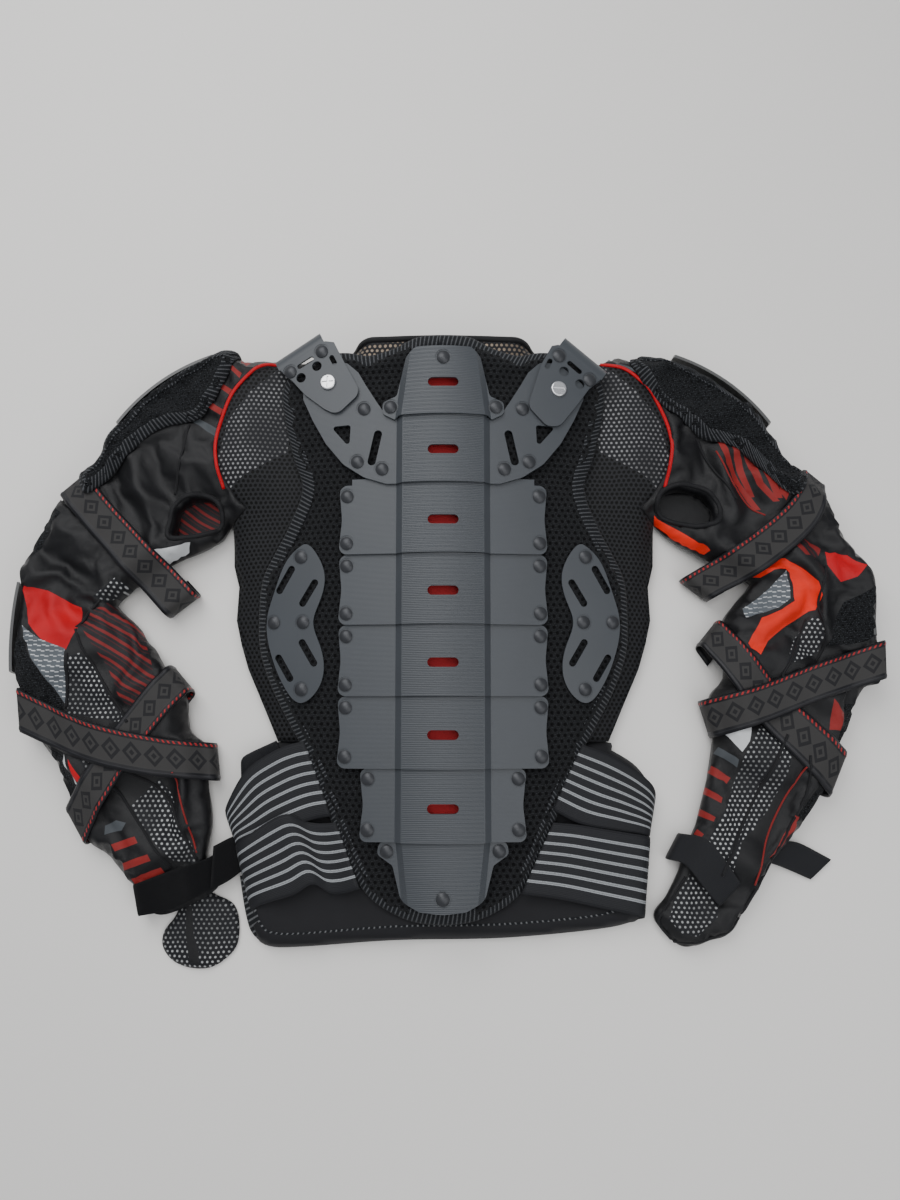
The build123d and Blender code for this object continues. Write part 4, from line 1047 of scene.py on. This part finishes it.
# ------------------------------------------------------------------ sleeves
SPLIT = {"left": [(403, 154), (262, 40)], "right": [(403, 150), (262, 44)]}
CUT_OUT = {
    "left": [(276, 108), (277, 124), (272, 141), (258, 149), (243, 149), (233, 140), (233, 122), (250, 112)],
    "right": [(276, 124), (280, 140), (268, 155), (247, 161), (228, 155), (223, 141), (232, 130), (256, 121)],
}
MATS = [
    lycra_mat, shoulder_mat, red_mat, grey_mat, bar_mat, stripe_mat, lozenge_mat, arm_mesh_mat, white_mat,
    orange_mat, stripe_right_mat,
]
LYCRA, PADDING, REDS, GREYS, BARS, STRIPES, LOZENGES, ARM_MESH, WHITES, ORANGE, STRIPES_R = range(11)
PANELS = {
    "upper_left": [
        ([(214, 298), (209, 298), (200, 290), (204, 288)], BARS), ([(225, 284), (222, 286), (208, 275),
        (210, 270)], BARS),
        ([(233, 263), (231, 267), (215, 257), (218, 251)], BARS), ([(245, 244), (242, 249), (224, 237),
        (226, 231)], BARS),
        ([(260, 228), (256, 233), (231, 218), (233, 210)], GREYS),
        ([(295, 93), (259, 102), (262, 93), (286, 80)], WHITES),
        ([(390, 158), (372, 178), (366, 160), (386, 142), (398, 142)], PADDING),
    ],
    "upper_right": [
        ([(178, 287), (194, 281), (197, 277), (180, 282)], GREYS), ([(184, 280), (202, 272), (204, 267),
        (188, 274)], GREYS),
        ([(282, 206), (287, 206), (298, 187), (308, 163), (325, 136), (319, 136), (300, 163),
        (290, 187)], BARS),
        ([(295, 205), (300, 204), (309, 187), (314, 167), (320, 149), (315, 149), (308, 167),
        (301, 187)], BARS),
        ([(307, 199), (313, 196), (322, 181), (328, 161), (342, 142), (336, 142), (322, 160),
        (316, 178)], BARS),
        ([(324, 182), (331, 177), (339, 165), (345, 145), (338, 145), (332, 163)], BARS),
        ([(342, 164), (353, 153), (349, 143), (343, 150)], BARS),
        ([(219, 134), (221, 126), (240, 108), (268, 91), (273, 95), (246, 114)], ORANGE),
        ([(376, 176), (392, 160), (372, 140), (358, 158)], PADDING),
    ],
    "forearm_left": [
        ([(400, 140), (416, 110), (424, 84), (418, 84), (402, 108), (390, 132)], PADDING),
        ([(422, 56), (398, 50), (364, 34), (366, 11), (375, -9), (392, -4), (400, 3), (415, 19)], REDS),
        ([(420, 16), (400, 2), (376, -8), (374, -62), (407, -17)], LOZENGES),
        ([(423, 10), (407, -18), (376, -60), (374, -78), (418, -70), (424, -20)], PADDING),
        ([(374, -16), (361, -12), (351, -20), (324, -57), (312, -80), (372, -70)], ARM_MESH),
        ([(366, 14), (351, 33), (341, 38), (321, 28), (304, 9), (288, -36), (294, -68), (306, -76),
        (321, -52), (339, -21), (360, 9)], STRIPES),
        ([(351, 46), (332, 65), (318, 55), (340, 41)], ARM_MESH),
        ([(353, -113), (326, -118), (340, -135)], ARM_MESH),
        ([(280, -135), (270, -148), (237, -216), (261, -213), (307, -163)], ARM_MESH),
        ([(370, -109), (366, -113), (361, -130), (348, -143), (353, -146), (367, -134)], WHITES),
        ([(363, -114), (346, -135), (349, -142), (357, -131)], REDS),
        ([(327, -179), (316, -174), (307, -176), (310, -183), (327, -187)], GREYS),
        ([(320, -196), (298, -188), (294, -194), (316, -202)], BARS), ([(310, -214), (284, -204), (281, -210),
        (306, -220)], BARS),
        ([(299, -228), (273, -218), (270, -224), (295, -234)], BARS),
        ([(392, -100), (376, -118), (360, -150), (348, -186), (340, -180), (352, -146),
        (370, -112)], PADDING),
    ],
    "forearm_right": [
        ([(385, 90), (410, 88), (427, 77), (415, 65), (398, 60), (387, 77)], REDS),
        ([(355, 99), (366, 108), (382, 94), (378, 84), (364, 85)], STRIPES_R),
        ([(307, 68), (320, 73), (327, 84), (346, 85), (359, 73), (374, 59), (378, 46), (371, 32), (361, 27),
        (345, 15), (325, 0), (315, -15),
          (304, -3), (318, 24), (337, 32), (350, 40), (350, 58), (344, 73), (332, 71), (321, 65)], ORANGE),
        ([(343, 70), (347, 57), (347, 43), (336, 35), (313, 27), (304, 24), (302, 34), (329, 54)], LOZENGES),
        ([(373, 27), (381, 12), (374, -11), (338, -25), (346, -7), (360, 15)], ARM_MESH),
        ([(430, 54), (402, 39), (391, 17), (382, -4), (420, 0), (428, 5)], PADDING),
        ([(318, -78), (338, -107), (331, -134), (316, -164), (301, -182), (287, -193), (280, -215),
        (276, -232), (265, -219), (256, -194),
          (264, -179), (277, -157), (288, -132), (295, -109), (307, -89)], ARM_MESH),
        ([(240, -226), (224, -250), (217, -268), (229, -278), (245, -282), (262, -265),
        (266, -252)], ARM_MESH),
        ([(276, -90), (291, -81), (304, -78), (299, -98), (292, -108)], WHITES),
        ([(268, -110), (272, -104), (289, -115), (287, -123)], GREYS),
        ([(263, -129), (266, -122), (281, -134), (278, -140)], BARS), ([(257, -149), (260, -143), (272, -153),
        (270, -158)], BARS),
        ([(251, -170), (254, -164), (264, -171), (262, -175)], BARS), ([(246, -188), (249, -183), (253, -187),
        (251, -190)], BARS),
        ([(341, -168), (346, -171), (321, -211), (316, -209)], BARS),
        ([(418, -60), (405, -80), (388, -112), (374, -146), (352, -176), (344, -168), (366, -132), (384, -96),
        (398, -62)], PADDING),
        ([(382, -56), (393, -70), (387, -86), (377, -86)], BARS),
    ],
}


def sleeve_place(p):
    top, middle, q = fabric_height(p)
    under = middle - (middle - 1.0) * q
    top = np.maximum(top, middle + 0.8)
    return np.column_stack([p, top]), np.column_stack([p, np.minimum(under, top - 1.6)])


def clip_rim(points, split, above):
    """The part of a closed outline on one side of the split line."""
    (x0, y0), (x1, y1) = split
    value = lambda q: (x1 - x0) * (q[1] - y0) - (y1 - y0) * (q[0] - x0)
    sign = 1 if above else -1
    out = []
    for a, b in zip(points, points[1:] + points[:1]):
        va, vb = sign * value(a), sign * value(b)
        if va >= 0:
            out.append(a)
        if (va >= 0) != (vb >= 0):
            t = va / (va - vb)
            out.append((a[0] + (b[0] - a[0]) * t, a[1] + (b[1] - a[1]) * t))
    return out


sleeves = {}
for name, side in SIDES.items():
    seam = arc(1, -52, 82)
    loop = OUTER[name][2:] + INNER[name][:-1]
    smooth_loop = spline(loop, 3.0)
    whole = [tuple(q) for q in smooth_loop] + seam
    for part, above in (("upper", False), ("forearm", True)):
        rim = clip_rim(whole, SPLIT[name], above)
        rim = [q for k, q in enumerate(rim) if math.dist(q, rim[k - 1]) > 0.8]
        rim = dense(rim, 4.5)
        holes = [flip(CUT_OUT[name], side)] if part == "upper" else []
        panels = [(flip(poly, side), mat) for poly, mat in PANELS[f"{part}_{name}"]]
        piece = fabric(
            f"sleeve_{part}_{name}", flip(rim, side), sleeve_place, 4.5, MATS, panels, holes,
            closed_spline=False,
        )
        puff(piece, 1.2, 0.06, 5.0)
        sleeves[f"{part}_{name}"] = piece

# ------------------------------------------------------------------ what lies on the fabric
surfaces = [torso, *sleeves.values()]
trees = [ray_tree(o) for o in surfaces]


def drop(x, y, fallback=None):
    """Height of the fabric's top under a point, in millimetres."""
    best = None
    for tree in trees:
        hit = tree.ray_cast(Vector((x * MM, y * MM, CAST_FROM)), Vector((0, 0, -1)))[0]
        if hit and (best is None or hit.z > best):
            best = hit.z
    if best is None:
        return fallback
    return best / MM


def on_fabric(points, lift):
    line = spline(points, 3.0)
    heights = [drop(x, y) for x, y in line]
    known = [h for h in heights if h is not None] or [10.0]
    last = known[0]
    out = []
    for (x, y), h in zip(line, heights):
        last = last if h is None else h
        out.append((x, y, last + lift))
    out = np.array(out)
    for _ in range(2):
        out[1:-1, 2] = (out[:-2, 2] + 2 * out[1:-1, 2] + out[2:, 2]) / 4
    return out


def laid(first, second, lift, wrap_start, wrap_end):
    """Edge lines of a strap laid over the fabric. wrap_start and wrap_end are how far it bulges
    past its end before it turns under."""
    a, b = (np.array(e, float) for e in (first, second))
    count = max(6, int(np.linalg.norm(np.diff((a + b) / 2, axis=0), axis=1).sum() / 4))
    flat = lambda line: spline_count(np.column_stack([line, np.zeros(len(line))]), count)[:, :2]
    a, b = flat(a), flat(b)
    z = []
    for p, q in zip(a, b):
        hits = [drop(*(p + (q - p) * t)) for t in np.linspace(0, 1, 7)]
        hits = [h for h in hits if h is not None]
        z.append(max(hits) if hits else None)
    known = [k for k, h in enumerate(z) if h is not None]
    z = np.interp(np.arange(count), known, [z[k] for k in known])
    top = z.copy()
    for _ in range(4):
        padded = np.concatenate([z[:1], z, z[-1:]])
        z = np.maximum((padded[:-2] + 2 * padded[1:-1] + padded[2:]) / 4, top)
    padded = np.concatenate([z[:1], z, z[-1:]])
    z = (padded[:-2] + padded[1:-1] + padded[2:]) / 3 + lift
    a, b = np.column_stack([a, z]), np.column_stack([b, z])
    for bulge, at_end in ((wrap_start, False), (wrap_end, True)):
        line_a, line_b = (a, b) if at_end else (a[::-1], b[::-1])
        ahead = (line_a[-1] + line_b[-1]) / 2 - (line_a[-3] + line_b[-3]) / 2
        ahead[2] = 0
        ahead = ahead / np.linalg.norm(ahead)
        high = line_a[-1][2]
        turn = []
        for t in np.linspace(0, math.pi, 8)[1:]:
            turn.append(ahead * bulge * math.sin(t) + np.array([0, 0,
                (math.cos(t) - 1) * (high - STRAP_UNDER_Z) / 2]))
        turn.append(turn[-1] - ahead * STRAP_TUCK)
        turn.append(turn[-1] - ahead * STRAP_TUCK)
        line_a = np.vstack([line_a, [line_a[-1] + d for d in turn]])
        line_b = np.vstack([line_b, [line_b[-1] + d for d in turn]])
        a, b = (line_a, line_b) if at_end else (line_a[::-1], line_b[::-1])
    return a, b


def strap(name, first, second, body, material, bead, wraps, replaced):
    a, b = laid(first, second, 1.6, *wraps)
    piece = band(name, a, b, 2.0, material, across=14, bead=bead)
    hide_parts(replaced)
    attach(piece, body)
    return piece


STRAPS = {
    "left": {
        "arm_strap": ([(-365, 173), (-330, 132), (-256, 56)], [(-391, 149), (-352, 104), (-286, 32)]),
        "elbow_strap_lower": ([(-256, -53), (-300, -112), (-346, -193)][::-1], [(-279, -27), (-322, -88),
            (-367, -160)][::-1]),
        "elbow_strap_upper": ([(-420, -47), (-350, -78), (-280, -94), (-234, -99)], [(-413, -90),
            (-350, -116), (-290, -130), (-229, -136)]),
        "wrist_strap": ([(-297, -234), (-265, -222), (-236, -213), (-222, -206)], [(-290, -263), (-263, -258),
            (-235, -245), (-216, -235)]),
    },
    "right": {
        "arm_strap": ([(374, 178), (350, 140), (300, 100), (250, 70)], [(394, 160), (378, 118), (330, 76),
            (278, 48)]),
        "elbow_strap_lower": ([(284, 20), (330, -44), (394, -106)], [(262, -6), (308, -76), (374, -148)]),
        "elbow_strap_upper": ([(436, 0), (370, -22), (310, -44), (264, -56)], [(434, -38), (372, -58),
            (320, -78), (274, -93)]),
        "wrist_strap": ([(236, -188), (254, -191), (270, -209), (286, -232)], [(222, -212), (234, -216),
            (248, -234), (264, -253)]),
    },
}
for name, side in SIDES.items():
    rows = STRAPS[name]
    for key in ("arm_strap", "elbow_strap_lower", "elbow_strap_upper", "wrist_strap"):
        first, second = rows[key]
        arm = "upper_arm" if key == "arm_strap" else "forearm"
        if key == "wrist_strap":
            material = hook_mat if side < 0 else plain_elastic_mat
            slot, bead, wraps = "webbing", 0.0, (3, 3)
        else:
            material = webbing_mat
            slot, bead, wraps = "strap", 0.5, (5, 6)
        piece = strap(
            f"{key}_webbing_{name}", first, second, f"{arm}_{name}", material, bead, wraps,
            f"{key}_{name}",
        )
        trees.append(ray_tree(piece))    # straps laid later also rest on this one

# the wrist straps' loose ends
tab = band(
    "wrist_tab_left", [(-224, -199, 20), (-206, -190, 15), (-196, -192, 11)],
    [(-225, -240, 20), (-209, -232, 16), (-196, -222, 10)], 2.6, hook_mat, across=8,
)
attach(tab, "forearm_left")
tail = band(
    "wrist_tail_right", [(330, -196, 12), (341, -195, 10), (355, -198, 6), (384, -213, 3)],
    [(316, -214, 11), (331, -219, 9), (346, -225, 5), (362, -232, 3)],
    2.4, plain_elastic_mat, across=8,
)
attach(tail, "forearm_right")

# hand loop of mesh at the left cuff
loop_rim = [
    (-258, -257), (-263, -268), (-272, -280), (-273, -294), (-263, -307), (-246, -314), (-226, -314),
    (-210, -305), (-200, -291), (-200, -268), (-207, -254), (-222, -247), (-238, -240), (-252, -243),
]
loop_line = spline(loop_rim, 4.0, closed=True)


def loop_place(p):
    d = edge_distance(p, closed_line(loop_line))
    t = np.clip(d / 8, 0, 1)
    q = round_rise(t)
    crease = 1.6 * np.cos((p[:, 0] + 236) / 9) * q
    return np.column_stack([p, 3.2 + 4.2 * q + crease * 0.6]), np.column_stack([p, 2.4 - 1.6 * q])


loop = fabric(
    "hand_loop_mesh", [tuple(q) for q in loop_line], loop_place, 4.0, [arm_mesh_mat, lycra_mat],
    [([(-251, -256), (-250, -282), (-245, -308), (-236, -311), (-236, -300), (-242, -282), (-245, -256)], 1)],
    closed_spline=False,
)
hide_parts("hand_loop_left")
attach(loop, "forearm_left")

# ------------------------------------------------------------------ shoulder pads
PADS = {
    "left": [
        (214, 299), (226, 302), (247, 293), (285, 270), (304, 254), (319, 238), (341, 211), (356, 187),
        (371, 172), (362, 150), (347, 163), (328, 185), (313, 203), (298, 215), (278, 223), (256, 230),
        (241, 243), (225, 271),
    ],
    "right": [
        (194, 290), (206, 298), (230, 294), (254, 284), (280, 269), (302, 251), (320, 234), (337, 210),
        (357, 188), (372, 176), (362, 152), (348, 153), (330, 171), (310, 192), (290, 204), (265, 212),
        (245, 230), (215, 252), (200, 274),
    ],
}
for name, side in SIDES.items():
    rim = spline(flip(PADS[name], side), 3.6, closed=True)
    line = closed_line(rim)

    def pad_on_arm(p, line=line):
        d = edge_distance(p, line)
        t = np.clip(d / 11, 0, 1)
        q = round_rise(t)
        ground = np.array([max(h, drop(a, b, 0.0)) for h, (a, b) in zip(fabric_height(p)[0], p)])
        swell = np.array([noise.noise(Vector((a / 16, b / 16, 7.7))) for a, b in p])
        top = np.maximum(ground + 1.2 + 7.0 * q + 0.9 * swell * q, 14)
        return np.column_stack([p, top]), np.column_stack([p, np.minimum(ground - 2, top - 2)])

    piece = fabric(
        f"shoulder_padding_{name}", [tuple(q) for q in rim], pad_on_arm, 4.0,
        [shoulder_mat], closed_spline=False,
    )
    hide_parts(f"shoulder_pad_{name}")
    puff(piece, 3.0, 0.06, 3.5)
    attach(piece, f"upper_arm_{name}")
    trees.append(ray_tree(piece))
    tangent = unit(np.roll(rim, -1, 0) - np.roll(rim, 1, 0))
    turn = np.sum(rim[:, 0] * np.roll(rim[:, 1], -1) - np.roll(rim[:, 0], -1) * rim[:, 1])
    out = np.column_stack([tangent[:, 1], -tangent[:, 0]]) * (1 if turn > 0 else -1)
    rows = []
    for offset, lift in ((-8.5, 0.9), (1.0, -0.6)):
        q = rim + out * offset
        z = [drop(a, b, 20.0) + lift for a, b in (rim - out * max(1.0, -offset))]
        edge = np.column_stack([q, z])
        rows.append(closed_line(edge))
    rows[1][:, 2] = np.minimum(rows[1][:, 2], rows[0][:, 2] - 2)
    edge = band(f"shoulder_edge_{name}", rows[0], rows[1], 1.8, border_mat, across=4)
    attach(edge, f"upper_arm_{name}")

# ------------------------------------------------------------------ piping, rims and seams
PIPING = {
    "left": [(-163, 288), (-185, 286), (-202, 272), (-218, 253), (-229, 226), (-234, 205), (-232, 180),
        (-226, 158)],
    "right": [(163, 288), (185, 281), (202, 268), (216, 251), (228, 228), (234, 205), (232, 180), (228, 160)],
}
for name, points in PIPING.items():
    piece = tube(f"red_piping_{name}", on_fabric(points, 0.6), 1.9, piping_mat, flat=0.8)
    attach(piece, "torso")

for name, side in SIDES.items():
    hole = flip(CUT_OUT[name], side)
    ring = np.array(spline(hole, 3.0, closed=True))
    centre = ring.mean(0)
    lifted = []
    for x, y in ring:
        out = np.array([x, y]) - centre
        px, py = centre + out * 1.10
        lifted.append((px, py, drop(px, py, 24.0) + 0.8))
    rim = tube(f"cut_out_rim_{name}", lifted, 2.6, binding_mat, closed=True, flat=0.8)

    def well_place(p):
        top, low = 14.0 + 0.05 * (p[:, 1] - 120), np.full(len(p), 11.0)
        return np.column_stack([p, top]), np.column_stack([p, low])

    wide = [tuple(centre + (np.array(q) - centre) * 1.14) for q in ring]
    lining = stripe_mat if side < 0 else lycra_mat
    well = fabric(f"cut_out_inside_{name}", wide, well_place, 5.0, [lining], closed_spline=False)
    for piece in (rim, well):
        sleeves[piece.name] = piece

SEAMS = {
    "forearm_left": [
        [(-366, 14), (-352, 34), (-345, 42)], [(-366, 12), (-356, -10), (-324, -60), (-308, -80)],
            [(-372, -12), (-374, -66)],
        [(-312, -126), (-272, -150), (-240, -212)], [(-322, -140), (-300, -170), (-264, -218)], [(-262, -128),
            (-250, -170), (-240, -205)],
    ],
    "forearm_right": [
        [(386, 76), (376, 40), (381, 0), (372, -20)], [(364, 22), (350, -8), (334, -36)], [(336, -92),
            (322, -120), (290, -182), (268, -226)],
        [(356, -112), (352, -150), (318, -212), (288, -262)], [(352, -123), (332, -157), (316, -189),
            (300, -235)],
        [(220, -286), (209, -272), (210, -264), (222, -248), (236, -228)], [(222, -288), (241, -289),
            (258, -285), (274, -279), (286, -266)],
    ],
    "upper_right": [[(280, 196), (294, 167), (314, 140), (328, 129)], [(262, 212), (276, 182), (300, 146)]],
    "upper_left": [[(-262, 224), (-270, 180), (-276, 152)]],
}
RED_SEAMS = {"seam_forearm_left_5", "seam_upper_right_0", "seam_forearm_right_4"}
for key, lines in SEAMS.items():
    for number, points in enumerate(lines):
        title = f"seam_{key}_{number}"
        radius, material = (1.0, bar_mat) if title in RED_SEAMS else (1.5, binding_mat)
        piece = tube(title, on_fabric(points, 0.2), radius, material, flat=0.7, around=6)
        sleeves[piece.name] = piece

# ------------------------------------------------------------------ sleeve pieces: transforms baked into the meshes, CAD sleeves hidden
for key, piece in sleeves.items():
    side = -1 if key.endswith("left") or "_left" in key else 1
    name = "left" if side < 0 else "right"
    piece.data.update()
    if "forearm" in key:
        start, end = (side * 0.338, 0.090, 0.02), (side * 0.386, 0.032, 0.02)
    else:
        start, end = (side * 0.236, 0.192, 0.03), (side * 0.276, 0.176, 0.03)
    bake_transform(piece)
for name in SIDES:
    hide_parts(f"upper_sleeve_{name}")
    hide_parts(f"forearm_sleeve_{name}")

# ------------------------------------------------------------------ vents of the cups
VENTS = {"shoulder_cup": [(-0.30, 36), (0.02, 44), (0.34, 36), (0.02, 22)], "elbow_cup": [(-0.26, 26),
    (0.26, 26)]}
for name, side in SIDES.items():
    for kind, spots in VENTS.items():
        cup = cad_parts[f"{kind}_{name}"]
        tree = ray_tree(cup)
        low, high = (np.array(v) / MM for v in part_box(f"{kind}_{name}"))
        middle = (low + high) / 2
        out = np.array([side * 0.62, 0.78]) if kind == "shoulder_cup" else np.array([side, 0.0])
        along = np.array([out[1], -out[0]])
        width = math.hypot(*(high - low)[:2]) if kind == "shoulder_cup" else high[1] - low[1]
        for number, (share, z) in enumerate(spots):
            line = []
            for step in np.linspace(-6.5, 6.5, 6):
                start = middle[:2] + along * (share * width + step) + out * 60
                hit = tree.ray_cast(Vector((*start, z)) * MM, Vector((*-out, 0)))[0]
                if hit:
                    line.append(tuple(np.array(hit) / MM - 0.9 * np.array([*out, 0])))
            if len(line) > 3:
                vent = tube(f"{kind}_vent_{name}_{number}", line, 1.7, rivet_mat, around=10, step=2.0)
                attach(vent, f"upper_arm_{name}" if kind == "shoulder_cup" else f"forearm_{name}")

# ------------------------------------------------------------------ floor, light and camera
FLOOR = 3.0    # half of the floor's side, in metres
floor_mesh = bpy.data.meshes.new("floor")
floor_corners = [(-FLOOR, -FLOOR, 0), (FLOOR, -FLOOR, 0), (FLOOR, FLOOR, 0), (-FLOOR, FLOOR, 0)]
floor_mesh.from_pydata(floor_corners, [], [(0, 1, 2, 3)])
floor = bpy.data.objects.new("floor", floor_mesh)
bpy.context.scene.collection.objects.link(floor)
floor_look = Look("pale_floor", (0.86, 0.84, 0.81), 0.6, space="object")
floor_look.color(floor_look.mix(floor_look.noise(300, 2), (0.84, 0.82, 0.79), (0.88, 0.86, 0.83)))
floor_mesh.materials.append(floor_look.mat)

world = bpy.data.worlds.new("soft_room")
world.use_nodes = True
world.node_tree.nodes["Background"].inputs[0].default_value = (0.92, 0.95, 1.0, 1)
world.node_tree.nodes["Background"].inputs[1].default_value = 0.42
bpy.context.scene.world = world
LIGHTS = [
    ("window", (-0.6, 1.1, 1.5), (0, 0, 0), 1.4, 22), ("room", (1.0, -0.9, 1.7), (0, 0, 0), 1.6, 12),
    ("ceiling", (0.0, 0.1, 2.2), (0, 0, 0), 1.2, 12),
]
for name, place, aim, size, power in LIGHTS:
    data = bpy.data.lights.new(name, "AREA")
    data.size = size
    data.energy = power
    lamp = bpy.data.objects.new(name, data)
    lamp.location = place
    lamp.rotation_euler = (Vector(aim) - Vector(place)).to_track_quat("-Z", "Y").to_euler()
    bpy.context.scene.collection.objects.link(lamp)

camera_data = bpy.data.cameras.new("camera")
camera_data.lens = 26.4
camera_data.sensor_width = 36.0
camera = bpy.data.objects.new("camera", camera_data)
camera.location = (0.0067, -0.1208, 0.907)
camera.rotation_euler = (math.radians(10.6), 0, 0)
bpy.context.scene.collection.objects.link(camera)
bpy.context.scene.camera = camera
